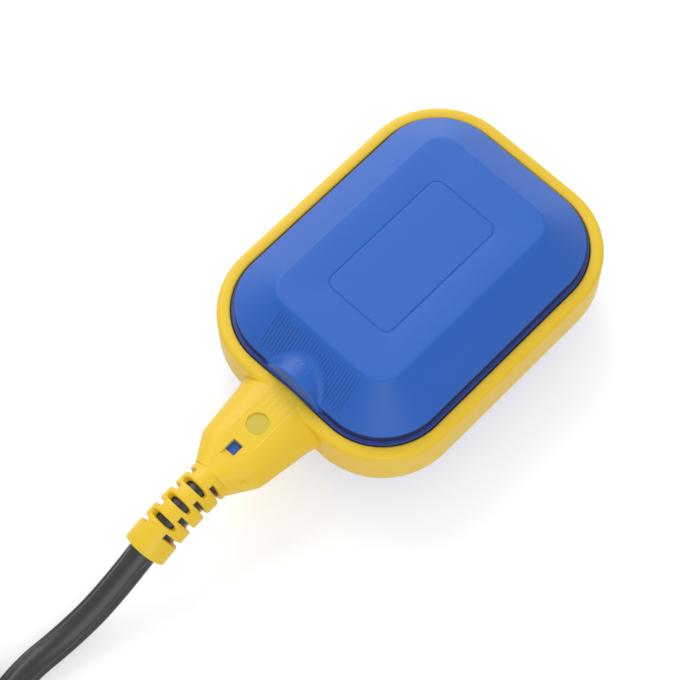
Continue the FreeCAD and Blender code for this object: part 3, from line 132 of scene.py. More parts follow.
def white_seen(tree):
    """1 for what the camera, a gloss or glass sees, and 0 for light on its way."""
    path = add(tree, "ShaderNodeLightPath")
    either = add(tree, "ShaderNodeMath", {0: path.outputs["Is Camera Ray"], 1: path.outputs["Is Glossy Ray"]},
                 operation="MAXIMUM")
    return add(tree, "ShaderNodeMath", {0: either.outputs[0], 1: path.outputs["Is Transmission Ray"]},
               operation="MAXIMUM").outputs[0]


paper, tree, output = new_material("white_table")
plain = add(tree, "ShaderNodeBsdfDiffuse", {"Color": colour("#E4E4E4")})
lift = add(tree, "ShaderNodeEmission", {"Color": colour("#FFFFFF"), "Strength": TABLE_LIFT})
lifted = add(tree, "ShaderNodeAddShader", {0: plain.outputs[0], 1: lift.outputs[0]})
mixed = add(tree, "ShaderNodeMixShader", {0: white_seen(tree), 1: plain.outputs[0], 2: lifted.outputs[0]})
tree.links.new(mixed.outputs[0], output.inputs["Surface"])

floor_mesh = bpy.data.meshes.new("table")
corners = [(x * TABLE_HALF, y * TABLE_HALF, 0) for x, y in ((-1, -1), (1, -1), (1, 1), (-1, 1))]
floor_mesh.from_pydata(corners, [], [(0, 1, 2, 3)])
floor_mesh.materials.append(paper)
table = bpy.data.objects.new("table", floor_mesh)
bpy.context.scene.collection.objects.link(table)

world = bpy.data.worlds.new("studio")
world.use_nodes = True
tree = world.node_tree
tree.nodes.clear()
around = add(tree, "ShaderNodeBackground", {"Color": colour("#F6F8FF"), "Strength": WORLD_STRENGTH})
seen = add(tree, "ShaderNodeBackground", {"Color": colour("#FFFFFF"), "Strength": 1.0})
mixed = add(tree, "ShaderNodeMixShader", {0: white_seen(tree), 1: around.outputs[0], 2: seen.outputs[0]})
tree.links.new(mixed.outputs[0], add(tree, "ShaderNodeOutputWorld").inputs["Surface"])
bpy.context.scene.world = world
print(f"table {2 * TABLE_HALF:.0f} m wide, world strength {WORLD_STRENGTH}")

# %% [markdown]
# Studios light small plastic parts with large soft boxes, because a large source gives a soft shadow
# and a broad sheen. The key box stands behind the float, the near box fills the cable side, and the
# low far box grazes the slopes. A square area lamp, large against the part, is the same thing.

# %% Soft boxes
def soft_box(name, azimuth, elevation, distance, size, power):
    """A square area lamp that looks at the float from a direction, in degrees."""
    lamp = bpy.data.lights.new(name, "AREA")
    lamp.size, lamp.energy = size, power
    box = bpy.data.objects.new(name, lamp)
    turn, rise = math.radians(azimuth), math.radians(elevation)
    away = Vector((math.sin(turn) * math.cos(rise), -math.cos(turn) * math.cos(rise), math.sin(rise)))
    box.location = HOME + away * distance
    box.rotation_euler = away.to_track_quat("Z", "Y").to_euler()
    bpy.context.scene.collection.objects.link(box)
    print(name, f"{size} m square, {power} W")


soft_box("key_box", 160, 44, 1.1, 0.8, 5.3)
soft_box("near_box", -42, 38, 1.2, 1.0, 4.6)
soft_box("far_box", 140, 24, 1.3, 0.9, 2.6)

# %% [markdown]
# The float and the rim are polypropylene, injection moulded in a steel mould whose walls are
# spark-eroded: that gives a fine even grain and a soft satin sheen. The grain on the real part is
# about a tenth of a millimetre; it is drawn three times as coarse here so that it shows.

# %% Moulded polypropylene
DRIFT, GRAIN, GRAIN_DEPTH = 45 * MM, 0.3 * MM, 0.02 * MM


def moulded_plastic(name, base, deeper, roughness, grain=GRAIN):
    """Satin moulded plastic: a slow drift of colour and a fine mould grain."""
    material, tree, output = new_material(name)
    place = add(tree, "ShaderNodeTexCoord").outputs["Object"]
    drift = add(tree, "ShaderNodeTexNoise", {"Vector": place, "Scale": 1 / DRIFT, "Detail": 2.0})
    tone = add(tree, "ShaderNodeMix", {"Factor": drift.outputs["Fac"], 6: colour(base), 7: colour(deeper)},
               data_type="RGBA")
    fine = add(tree, "ShaderNodeTexNoise", {"Vector": place, "Scale": 1 / grain, "Detail": 2.0})
    bump = add(tree, "ShaderNodeBump", {"Height": fine.outputs["Fac"], "Distance": GRAIN_DEPTH,
                                        "Strength": 0.5})
    dull = add(tree, "ShaderNodeMapRange", {"Value": fine.outputs["Fac"], "To Min": roughness - 0.05,
                                            "To Max": roughness + 0.05})
    shader = add(tree, "ShaderNodeBsdfPrincipled", {
        "Base Color": tone.outputs[2], "Roughness": dull.outputs["Result"], "IOR": 1.49,
        "Normal": bump.outputs["Normal"]})
    tree.links.new(shader.outputs[0], output.inputs["Surface"])
    return material


yellow = moulded_plastic("polypropylene_yellow_satin", "#F2CB24", "#EEC51E", 0.42)
blue = moulded_plastic("polypropylene_blue_satin", "#1A5FBD", "#175AB6", 0.46)
print("moulded:", yellow.name, "and", blue.name)

# %% [markdown]
# The cable's sheath is soft PVC, extruded over three twisted cores, so it is black and satin with
# an uneven skin. Rubber and the cores' insulation differ from it in colour and roughness only, and
# the inner mouldings are the moulded plastic of the last step in other colours.

# %% Black sheath and the other plastics
SKIN, SKIN_DEPTH, SKIN_CONTRAST = 1.6 * MM, 0.04 * MM, 0.14


def sheath_pvc(name, base, roughness):
    """Extruded PVC: satin, with a fine uneven skin."""
    material, tree, output = new_material(name)
    place = add(tree, "ShaderNodeTexCoord").outputs["Object"]
    skin = add(tree, "ShaderNodeTexNoise", {"Vector": place, "Scale": 1 / SKIN, "Detail": 4.0,
                                            "Roughness": 0.6})
    tone = add(tree, "ShaderNodeValToRGB", {"Fac": skin.outputs["Fac"]})
    for element, share in zip(tone.color_ramp.elements, (1 - SKIN_CONTRAST, 1 + SKIN_CONTRAST)):
        element.color = [part * share for part in colour(base)[:3]] + [1.0]
    bump = add(tree, "ShaderNodeBump", {"Height": skin.outputs["Fac"], "Distance": SKIN_DEPTH,
                                        "Strength": 0.5})
    shader = add(tree, "ShaderNodeBsdfPrincipled", {
        "Base Color": tone.outputs["Color"], "Roughness": roughness, "IOR": 1.53,
        "Normal": bump.outputs["Normal"]})
    tree.links.new(shader.outputs[0], output.inputs["Surface"])
    return material


black_pvc = sheath_pvc("pvc_black_extruded", "#1D1D1F", 0.34)
nitrile = sheath_pvc("nitrile_rubber_black_moulded", "#1B1B1C", 0.7)
nylon = moulded_plastic("nylon_black_moulded", "#1C1C1D", "#202021", 0.45)
thermoset = moulded_plastic("thermoset_black_moulded", "#222020", "#2A2726", 0.6, grain=0.4 * MM)
red_lid = moulded_plastic("thermoset_red_moulded", "#8E1F14", "#7C1A12", 0.55, grain=0.4 * MM)
acetal = moulded_plastic("acetal_white_moulded", "#E6E4DC", "#DEDCD3", 0.35)
grey_abs = moulded_plastic("abs_grey_moulded", "#C4C6C4", "#BBBDBB", 0.45)
core_black = sheath_pvc("pvc_black_core", "#19191A", 0.4)
core_blue = sheath_pvc("pvc_blue_core", "#1F4F9E", 0.4)
core_brown = sheath_pvc("pvc_brown_core", "#5A3217", 0.4)
print(len(bpy.data.materials), "materials so far")

# %% [markdown]
# The metals are inside: zinc-plated screws, a ground steel ball, rolled strip and tinned brass.
# Rolled strip has fine marks along the rolling, which stretched noise gives: long one way and short
# the other. The ball and the screws have the same marks in every direction.

# %% Metals
MARK_DEPTH = 0.01 * MM


def worked_metal(name, base, roughness, across, along):
    """Metal with fine marks; across and along are the marks' sizes."""
    material, tree, output = new_material(name)
    place = add(tree, "ShaderNodeTexCoord").outputs["Object"]
    spread = add(tree, "ShaderNodeMapping", {"Vector": place, "Scale": (1 / along, 1 / across, 1 / across)})
    marks = add(tree, "ShaderNodeTexNoise", {"Vector": spread.outputs[0], "Scale": 1.0, "Detail": 3.0})
    dull = add(tree, "ShaderNodeMapRange", {"Value": marks.outputs["Fac"], "To Min": roughness * 0.7,
                                            "To Max": roughness * 1.3})
    bump = add(tree, "ShaderNodeBump", {"Height": marks.outputs["Fac"], "Distance": MARK_DEPTH,
                                        "Strength": 0.3})
    shader = add(tree, "ShaderNodeBsdfPrincipled", {
        "Base Color": colour(base), "Metallic": 1.0, "Roughness": dull.outputs["Result"],
        "Normal": bump.outputs["Normal"]})
    tree.links.new(shader.outputs[0], output.inputs["Surface"])
    return material


zinc = worked_metal("steel_zinc_plated", "#C3C5C4", 0.35, 0.3 * MM, 0.3 * MM)
bearing = worked_metal("bearing_steel_polished", "#C9CACC", 0.08, 0.8 * MM, 0.8 * MM)
strip_steel = worked_metal("stainless_strip_rolled", "#B9B9B8", 0.3, 0.08 * MM, 3 * MM)
copper_strip = worked_metal("beryllium_copper_rolled", "#D08F5C", 0.3, 0.08 * MM, 3 * MM)
tinned = worked_metal("brass_strip_tinned", "#C9BB97", 0.32, 0.1 * MM, 2 * MM)
bare_copper = worked_metal("copper_strands_bare", "#D98B62", 0.34, 0.2 * MM, 4 * MM)
print(len(bpy.data.materials), "materials with the metals")

# %% [markdown]
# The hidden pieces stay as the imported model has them, and each takes the finish of its real material.
# Setting materials piece by piece would spread that choice over the file. One table from finish to
# pieces keeps it in one place.

# %% Finishes of the carried-over pieces
FINISHES = {
    yellow: ["surround_frame"], blue: ["upper_shell", "lower_shell"],
    black_pvc: ["cable_in_neck", "cable_run", "cable_coil"],
    nitrile: ["cable_grommet", "capsule_gasket", "wire_seal"],
    nylon: ["cable_clamp", "coil_tie_1", "coil_tie_2"], grey_abs: ["capsule_tray", "capsule_cover"],
    zinc: ["clamp_screws", "capsule_screws", "switch_screws", "lever_pin"], bearing: ["steel_ball"],
    strip_steel: ["actuator_lever"], thermoset: ["switch_case"], red_lid: ["switch_cover"],
    acetal: ["switch_plunger"], copper_strip: ["contact_blade"],
    tinned: ["common_terminal", "normally_open_terminal", "normally_closed_terminal"],
    core_black: ["core_common", "lead_black"], core_blue: ["core_normally_closed", "lead_blue"],
    core_brown: ["core_normally_open", "lead_brown"], bare_copper: ["lead_tips"]}
for finish, names in FINISHES.items():
    for name in names:
        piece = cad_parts[name]
        for slot in piece.material_slots:
            slot.material = finish
print(sum(map(len, FINISHES.values())), "pieces with", len(FINISHES), "finishes")

# %% [markdown]
# The cable is one line. It leaves the strain relief pointing down, lies on the table, and the length
# that is put away is wound into a neat coil. The coil has turns side by side and three layers, so the
# cable moves in or out by its own thickness at some places and up by a layer at two. A table of those
# places gives the radius and the height at any direction; drawing each turn by hand would take longer.

# %% Shape of the coil
CABLE = 8.5 * MM
RELIEF_START, RELIEF_BEND, RELIEF_ANGLE = 83.3 * MM, 62.0 * MM, math.radians(25.0)
COIL_AWAY, COIL_SIDE, COIL_MIDDLE = 209.0 * MM, 38.0 * MM, 42.5 * MM
COIL_ENTRY, COIL_END, COIL_LIFT, COIL_APPROACH = 295.0, 183.0 - 6 * 360, 1.45 * MM, 16.0 * MM


def ease(along):
    """A soft step from 0 to 1."""
    along = min(max(along, 0.0), 1.0)
    return along * along * (3 - 2 * along)


# Degrees from the entry where the cable starts to move: in or out by a turn, or up by a layer.
MOVES_IN, MOVES_OUT, MOVES_UP, MOVE_LONG = (240, 600, 1920), (1080, 1440), (840, 1680), 120


def coil_line(direction):
    """Radius and height of the wound cable at a direction that runs down from the entry."""
    wound = COIL_ENTRY - direction
    turn = 1 + sum(ease((wound - start) / MOVE_LONG) for start in MOVES_OUT)
    turn -= sum(ease((wound - start) / MOVE_LONG) for start in MOVES_IN)
    layer = sum(ease((wound - start) / MOVE_LONG) for start in MOVES_UP)
    return COIL_MIDDLE + CABLE * turn, COIL_LIFT + CABLE * (layer + 0.5)


def coil_spot(direction, radius, height):
    turn = math.radians(direction)
    return Vector((rim_x - COIL_AWAY + radius * math.cos(turn), COIL_SIDE + radius * math.sin(turn), height))


coil_across = 2 * (COIL_MIDDLE + 1.5 * CABLE)
print(f"coil of {(COIL_ENTRY - COIL_END) / 360:.2f} turns, {coil_across / MM:.0f} mm across")

# %% [markdown]
# A NURBS spline keeps a line smooth through few control points. The ones near the float are listed,
# and a loop places those of the coil. The spline cuts inside its points, so the loop sets them
# a little further out.

# %% Control points of the cable
CABLE_ROUTE = [(0.1240, -0.0003, 0.0090), (0.1395, 0.0010, 0.00445), (0.1550, 0.0024, 0.0044)]
TURN_POINTS = 16
TURN_STEP = 360 / TURN_POINTS
PULL = (3 + math.cos(math.radians(TURN_STEP))) / 4

mouth = Vector((rim_x - RELIEF_START - RELIEF_BEND * math.sin(RELIEF_ANGLE), 0,
                mid_z - RELIEF_BEND * (1 - math.cos(RELIEF_ANGLE))))
entry_radius, entry_height = coil_line(COIL_ENTRY)
joint = coil_spot(COIL_ENTRY, entry_radius, entry_height)
entry_turn = math.radians(COIL_ENTRY)
approach = joint + Vector((-math.sin(entry_turn), math.cos(entry_turn), 0)) * COIL_APPROACH
lying = [Vector((rim_x - away, side, height)) for away, side, height in CABLE_ROUTE]
route = [mouth] + lying + [approach, joint]
direction = COIL_ENTRY - TURN_STEP / 2
while direction > COIL_END:
    radius, height = coil_line(direction)
    route.append(coil_spot(direction, radius / PULL, height))
    direction -= TURN_STEP
radius, height = coil_line(COIL_END)
route.append(coil_spot(COIL_END, radius, height))
print(len(route), "control points")

# %% [markdown]
# Blender evaluates the spline itself: a curve without thickness turns into a chain of points, which
# the tube in the next step follows. Its length is measured on those points.

# %% A smooth line
def smooth_line(points, resolution=10):
    """The points that a NURBS spline through given control points gives."""
    curve = bpy.data.curves.new("line", "CURVE")
    curve.dimensions, curve.resolution_u = "3D", resolution
    spline = curve.splines.new("NURBS")
    spline.points.add(len(points) - 1)
    for point, control in zip(spline.points, points):
        point.co = (*control, 1.0)
    spline.order_u, spline.use_endpoint_u = 3, True
    holder = bpy.data.objects.new("line", curve)
    bpy.context.scene.collection.objects.link(holder)
    mesh = bpy.data.meshes.new_from_object(holder)
    line = [vertex.co.copy() for vertex in mesh.vertices]
    bpy.data.objects.remove(holder)
    return line


def line_length(line):
    return sum((b - a).length for a, b in zip(line, line[1:]))


cable_line = smooth_line(route)
cable_long = line_length(cable_line)
print(f"cable line {cable_long:.3f} m, {len(cable_line)} points")

# %% [markdown]
# The sheath shrinks on the three cores, which leaves three shallow grooves that wind slowly round it.
# A round bevel would lose them, so the tube is meshed: one ring of points at each place of the line.

# %% A tube along a line
def smooth_object(name, mesh, material):
    """A linked object with smooth faces and one material."""
    mesh.materials.append(material)
    mesh.polygons.foreach_set("use_smooth", [True] * len(mesh.polygons))
    made = bpy.data.objects.new(name, mesh)
    bpy.context.scene.collection.objects.link(made)
    return made


def tube_mesh(name, line, shape, sides, twist=0.0):
    """A closed tube; shape gives the radius for an angle, twist turns it by radians per metre."""
    shell = bmesh.new()
    ahead = (line[1] - line[0]).normalized()
    side = (Vector((0, 0, 1)) - ahead * ahead.z).normalized()
    rings, walked = [], 0.0
    for index, point in enumerate(line):
        before, after = line[max(index - 1, 0)], line[min(index + 1, len(line) - 1)]
        ahead = (after - before).normalized()
        side = (side - ahead * side.dot(ahead)).normalized()
        across = ahead.cross(side)
        walked += (point - before).length
        ring = []
        for step in range(sides):
            angle = 2 * math.pi * step / sides
            radius = shape(angle + twist * walked, walked)
            ring.append(shell.verts.new(point + (side * math.cos(angle) + across * math.sin(angle)) * radius))
        rings.append(ring)
    for low, high in zip(rings, rings[1:]):
        for step in range(sides):
            after = (step + 1) % sides
            shell.faces.new((low[step], low[after], high[after], high[step]))
    shell.faces.new(rings[0][::-1])
    shell.faces.new(rings[-1])
    bmesh.ops.recalc_face_normals(shell, faces=shell.faces)
    mesh = bpy.data.meshes.new(name)
    shell.to_mesh(mesh)
    shell.free()
    mesh.set_sharp_from_angle(angle=math.radians(50))
    return mesh


print("tubes are made from", len(cable_line), "rings")

# %% The cable
GROOVE_DEPTH, GROOVE_PHASE, GROOVE_POWER, GROOVE_FADE, GROOVE_TWIST = 0.17, 3.4, 12, 3 * MM, 4.0


def lobed(angle, walked):
    """Radius of the sheath round its axis: three lobes with grooves that fade in at its start."""
    groove = (0.5 + 0.5 * math.cos(3 * angle + GROOVE_PHASE)) ** GROOVE_POWER
    return CABLE / 2 * (1 - GROOVE_DEPTH * groove * min(walked / GROOVE_FADE, 1))


sheath = tube_mesh("cable_sheath", cable_line, lobed, 60, twist=GROOVE_TWIST)
cable = smooth_object("cable_sheath", sheath, black_pvc)
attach(cable, "root")
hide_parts("cable_run", "cable_coil")
print("cable", len(sheath.polygons), "faces")

# %% [markdown]
# The stripped leads come out of the sheath's end and lie on the coil. They are the same kind of line
# with a round section, one for each core, and their bare copper tips stay as they are.

# %% Leads
CORE, LEAD_LONG, LEAD_PITCH, LEAD_SHIFT, SPREAD = 2.4 * MM, 34.0 * MM, 3.2 * MM, -3.5 * MM, 1.56 * MM
top_radius, top_height = coil_line(COIL_END)
rest_height = COIL_LIFT + 2 * CABLE + CORE / 2 + 0.2 * MM


def lead_spot(along, out, height):
    """A point at a distance from the sheath's end round the coil, off the turn's line."""
    return coil_spot(COIL_END - math.degrees(along / top_radius), top_radius + out, height)


for name, out, rise, rank, finish in (
        ("lead_black", SPREAD, -0.6, 1, core_black), ("lead_blue", 0.0, 1.0, 0, core_blue),
        ("lead_brown", -SPREAD, -0.6, -1, core_brown)):
    height, side = top_height + rise * SPREAD, LEAD_SHIFT + rank * LEAD_PITCH
    points = [lead_spot(0.3 * MM, out, height), lead_spot(0.12 * LEAD_LONG, 0.9 * out + 0.1 * side, height),
              lead_spot(0.4 * LEAD_LONG, 0.4 * out + 0.6 * side, 0.35 * height + 0.65 * rest_height),
              lead_spot(0.72 * LEAD_LONG, side, rest_height), lead_spot(LEAD_LONG, 1.2 * side, rest_height)]
    mesh = tube_mesh(f"{name}_insulation", smooth_line(points), lambda angle, walked: CORE / 2, 24)
    lead = smooth_object(f"{name}_insulation", mesh, finish)
    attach(lead, "root")
    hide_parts(name)
    print(name, len(mesh.polygons), "faces")

# %% [markdown]
# Down in the seat, between the float and the rim, little light arrives and the blue looks nearly navy.
# Two deeper colours of the same plastic are painted shade on the faces of the seat and of the step above it.

# %% Painted shade in the seat
seat_painted_shade_blue = moulded_plastic("polypropylene_blue_seat_painted_shade", "#2A4391", "#27408A", 0.5)
step_painted_shade_blue = moulded_plastic("polypropylene_blue_step_painted_shade", "#0F2463", "#0D205A", 0.55)
print("seat:", seat_painted_shade_blue.name, "and", step_painted_shade_blue.name)

# %% [markdown]
# Nearly every form here is a stack of rounded rectangles joined ring by ring, as a loft is drawn in
# CAD. A box could be extruded and bevelled instead, but each corner would need its own care. With
# rings, one list of sizes is the whole profile, and a reach in mm at a station gives its rounding.

# %% Lofts of rounded rectangles
ARC_STEPS, SIDE_STEPS = 14, 14


def ring_points(half_x, half_y, corner, level, shift):
    """Points round a rounded rectangle, as many for every size."""
    points, signs = [], ((1, 1), (-1, 1), (-1, -1), (1, -1))
    for quarter, (sx, sy) in enumerate(signs):
        nx, ny = signs[(quarter + 1) % 4]
        for step in range(ARC_STEPS + 1):
            angle = math.radians(90 * (quarter + step / ARC_STEPS))
            points.append((sx * (half_x - corner) + corner * math.cos(angle),
                           sy * (half_y - corner) + corner * math.sin(angle)))
        for step in range(1, SIDE_STEPS):
            far = step / SIDE_STEPS
            points.append(((sx + (nx - sx) * far) * (half_x - corner) + corner * math.cos(angle),
                           (sy + (ny - sy) * far) * (half_y - corner) + corner * math.sin(angle)))
    return [Vector((x + shift, y, level)) for x, y in points]


def between(a, b, share):
    return tuple(p + (q - p) * share for p, q in zip(a, b))


def soften(stations):
    """Sizes along a profile, with a small curve at each station that has a reach in mm."""
    sizes = [size for size, reach in stations]
    out = []
    for index, (size, reach) in enumerate(stations):
        if not reach:
            out.append(size)
            continue
        ends = []
        for other in (sizes[index - 1], sizes[(index + 1) % len(sizes)]):
            run = math.hypot(other[0] - size[0], other[3] - size[3])
            ends.append(between(size, other, reach / run))
        for step in range(5):
            far = step / 4
            out.append(between(between(ends[0], size, far), between(size, ends[1], far), far))
    return out


def join_rings(shell, rings, whole=False):
    """Faces between rings of vertices; a whole one also joins its last ring to its first."""
    count = len(rings[0])
    for low, high in zip(rings, rings[1:] + (rings[:1] if whole else [])):
        for step in range(count):
            after = (step + 1) % count
            shell.faces.new((low[step], low[after], high[after], high[step]))


def loft(shell, stations):
    """Rings of points joined along a profile and closed at its end; gives the first ring."""
    rings = [[shell.verts.new(p * MM) for p in ring_points(*size)] for size in soften(stations)]
    join_rings(shell, rings)
    shell.faces.new(rings[-1])
    return rings[0]


def finished(shell, name):
    """A mesh from a bmesh, with its normals outward."""
    bmesh.ops.recalc_face_normals(shell, faces=shell.faces)
    mesh = bpy.data.meshes.new(name)
    shell.to_mesh(mesh)
    shell.free()
    return mesh


print("a ring has", len(ring_points(10, 8, 3, 0, 0)), "points")

# %% [markdown]
# A boss stands on the slope over the cable's clamp: half a cylinder that runs out of the slope in a
# soft blend. A boolean would leave a hard seam. A sheet of heights has none, because the blend is the
# soft maximum of the slope and the cylinder. A ring on its top is the mark that the mould's gate left.

# %% Sizes of the float, in mm
SEAT = (49.12, 36.22, 20.52)    # half length, half width and corner radius of each rounded rectangle
FOOT = (47.97, 35.07, 19.37)
FLAT = (35.49, 22.69, 7.0)
LEDGE, STEP, TOP, SHIFT, WALL = 7.74, 10.74, 21.575, -0.36, 2.2
SLOPE = (TOP - STEP) / (FOOT[0] - FLAT[0] + SHIFT)
BOSS_RADIUS, BOSS_MIDDLE, BOSS_FRONT, BOSS_BACK, BOSS_HALF = 10.7, 5.84, -48.75, -38.0, 12.6
FRONT_ROUND, BLEND, HIDDEN, STEP_INSIDE, SHADE_SHARE = 0.6, 1.8, 0.03, -47.93, 0.17
GATE_X, GATE_RADIUS, GATE_DEPTH, GATE_WIDTH = -44.8, 1.75, 0.1, 0.16
print(f"float {2 * TOP} mm thick, slopes at {math.degrees(math.atan(SLOPE)):.1f} degrees")


# %% The boss
def soft_max(a, b, width):
    share = min(max(0.5 + 0.5 * (a - b) / width, 0), 1)
    return b + (a - b) * share + width * share * (1 - share)


def boss_height(x, y):
    """Height of the boss and what is round it: the slope, or the ledge in front of the step."""
    round_top = BOSS_MIDDLE + math.sqrt(max(BOSS_RADIUS ** 2 - y * y, 0))
    if x < BOSS_FRONT + FRONT_ROUND:
        inside = BOSS_FRONT + FRONT_ROUND - x
        round_top -= FRONT_ROUND - math.sqrt(max(FRONT_ROUND ** 2 - inside ** 2, 0))
    if x < STEP_INSIDE:
        return soft_max(round_top, LEDGE - HIDDEN, 0.1)
    height = soft_max(round_top, STEP + (x + FOOT[0]) * SLOPE - HIDDEN, BLEND)
    mark = math.hypot(x - GATE_X, y) - GATE_RADIUS
    return height - GATE_DEPTH * math.exp(-(mark / GATE_WIDTH) ** 2)


def boss_mesh(shell):
    """A closed sheet of heights over the boss."""
    along = [BOSS_FRONT + step * 0.1 for step in range(8)] + [STEP_INSIDE - 0.01, STEP_INSIDE]
    while along[-1] < BOSS_BACK:
        along.append(along[-1] + 0.22)
    across = [-BOSS_HALF + step * 0.21 for step in range(int(2 * BOSS_HALF / 0.21) + 1)]
    top = [[shell.verts.new(Vector((x, y, boss_height(x, y))) * MM) for y in across] for x in along]
    floors = [LEDGE - 0.6 if x < STEP_INSIDE else STEP + (x + FOOT[0]) * SLOPE - 1.1 for x in along]
    low = [[shell.verts.new(Vector((x, y, floor)) * MM) for y in across] for x, floor in zip(along, floors)]
    rows, steps = len(along), len(across)
    for row in range(rows - 1):
        for step in range(steps - 1):
            for sheet in (top, low):
                here, there = sheet[row], sheet[row + 1]
                shell.faces.new((here[step], there[step], there[step + 1], here[step + 1]))
    edge = ([(row, 0) for row in range(rows)] + [(rows - 1, step) for step in range(1, steps)]
            + [(row, steps - 1) for row in range(rows - 2, -1, -1)]
            + [(0, step) for step in range(steps - 2, 0, -1)])
    # The edge walls are split at SHADE_SHARE of their height, so that their lower part takes the near-navy
    # painted shade of the step, a dark line along the rim.
    middle = [shell.verts.new(low[row][step].co.lerp(top[row][step].co, SHADE_SHARE))
              for row, step in edge]
    for here, (row, step) in enumerate(edge):
        after = (here + 1) % len(edge)
        next_row, next_step = edge[after]
        shell.faces.new((top[row][step], top[next_row][next_step], middle[after], middle[here]))
        shell.faces.new((middle[here], middle[after], low[next_row][next_step], low[row][step]))


print(f"boss {boss_height(GATE_X, 0):.1f} mm over the parting plane at its mark")

# %% [markdown]
# Under the neck each half carries half a sleeve that leads the cable in, and its flat top shows blue
# through the neck's window. Its outline is drawn once: swept straight along the cable it is the
# sleeve, and grown by a gap it is the tool that cuts the room for it in the neck.

# %% The sleeve that leads the cable in
SLEEVE_HALF, SLEEVE_RISE, SLEEVE_ROUND, SLEEVE_BORE, SLEEVE_ENDS = 8.6, 5.2, 2.5, 4.45, (-75.0, -44.0)


def sleeve_outline(gap=0.0):
    """The sleeve's upper outline in y and z, from side to side."""
    outline = [(SLEEVE_HALF + gap, 0)]
    for middle, first in ((SLEEVE_HALF - SLEEVE_ROUND, 0), (SLEEVE_ROUND - SLEEVE_HALF, 90)):
        for step in range(7):
            angle = math.radians(first + 15 * step)
            outline.append((middle + (SLEEVE_ROUND + gap) * math.cos(angle),
                            SLEEVE_RISE - SLEEVE_ROUND + (SLEEVE_ROUND + gap) * math.sin(angle)))
    return outline + [(-SLEEVE_HALF - gap, 0)]


def sleeve_mesh(shell):
    """Half of a tube with a flat top, along the cable."""
    outline = sleeve_outline()
    for step in range(13):
        angle = math.radians(180 - 15 * step)
        outline.append((SLEEVE_BORE * math.cos(angle), SLEEVE_BORE * math.sin(angle)))
    ends = [[shell.verts.new(Vector((x, y, z)) * MM) for y, z in outline] for x in SLEEVE_ENDS]
    for step in range(len(outline)):
        after = (step + 1) % len(outline)
        shell.faces.new((ends[0][step], ends[0][after], ends[1][after], ends[1][step]))
    for end in ends:
        shell.faces.new(end)


print(f"sleeve {2 * SLEEVE_HALF} by {2 * SLEEVE_RISE} mm, {SLEEVE_ENDS[1] - SLEEVE_ENDS[0]} mm long")

# %% [markdown]
# The float is two shallow trays of polypropylene, welded on the parting plane inside the rim. Each is
# lofted from rings, from the seat in the rim over a step to the flat, with a plain panel line on the
# flat. Every edge gets the small radius that a mould leaves, because that is what catches light.

# %% The two halves
PANEL, PANEL_DEPTH, SEAT_REACH = (23.15, 12.2, 3.2), 0.2, -49.2


def less(size, by):
    return tuple(number - by for number in size)


def half_shell(name, turned):
    """One half of the float; the lower one is the same moulding turned over."""
    shell = bmesh.new()
    outer = loft(shell, [
        ((*SEAT, 0, 0), 0), ((*SEAT, LEDGE, 0), 0.35), ((*FOOT, LEDGE, 0), 0.15), ((*FOOT, STEP, 0), 0.5),
        ((*FLAT, TOP, SHIFT), 0.6), ((*less(FLAT, 1.6), TOP, SHIFT), 0), ((*PANEL, TOP, 0), 0.06),
        ((*less(PANEL, 0.1), TOP - PANEL_DEPTH, 0), 0.04), ((*less(PANEL, 0.4), TOP - PANEL_DEPTH, 0), 0.04),
        ((*less(PANEL, 0.5), TOP, 0), 0.06), ((*less(PANEL, 1.2), TOP, 0), 0)])
    inner = loft(shell, [
        ((*less(FOOT, WALL), 0, 0), 0), ((*less(FOOT, WALL), 9.756, 0), 0.4),
        ((*less(FLAT, 0.84), TOP - WALL, SHIFT), 0.4), ((*less(FLAT, 4), TOP - WALL, SHIFT), 0)])
    for step in range(len(outer)):
        after = (step + 1) % len(outer)
        shell.faces.new((outer[step], outer[after], inner[after], inner[step]))
    boss_mesh(shell)
    sleeve_mesh(shell)
    if turned:
        bmesh.ops.rotate(shell, verts=shell.verts, matrix=Matrix.Rotation(math.pi, 3, "X"))
    bmesh.ops.translate(shell, verts=shell.verts, vec=HOME)
    made = smooth_object(name, finished(shell, name), blue)
    made.data.set_sharp_from_angle(angle=math.radians(35))
    made.data.materials.append(seat_painted_shade_blue)
    made.data.materials.append(step_painted_shade_blue)
    # Faces down in the seat take a deeper blue and steep faces of the step a near navy: painted shade where
    # little light reaches. The boss above the ledge keeps the plain blue.
    for face in made.data.polygons:
        x, y, z = (face.center - HOME) / MM
        if abs(z) < STEP - 0.05 and x > SEAT_REACH:
            steep = abs(face.normal.z) < 0.6
            boss = abs(y) < BOSS_RADIUS and x < STEP_INSIDE and abs(z) > LEDGE + 0.3
            face.material_index = 0 if boss else 2 if steep and abs(z) > LEDGE - 0.2 else 1
    return made


for node, turned in (("upper_shell", False), ("lower_shell", True)):
    half = half_shell(f"{node}_moulding", turned)
    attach(half, "root")
    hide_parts(node)
    print(node, len(half.data.polygons), "faces")

# %% [markdown]
# Fine ribs give a grip where a thumb pushes the float out of its rim, and the neck carries a few flow
# lines where the melt ran. Both are rows of one thin bar whose ends run out. Cutting them in would
# cost many booleans, so one small tree of Geometry Nodes makes the bars from a count, a pitch, a
# length and a radius, and the result is turned into a plain mesh.

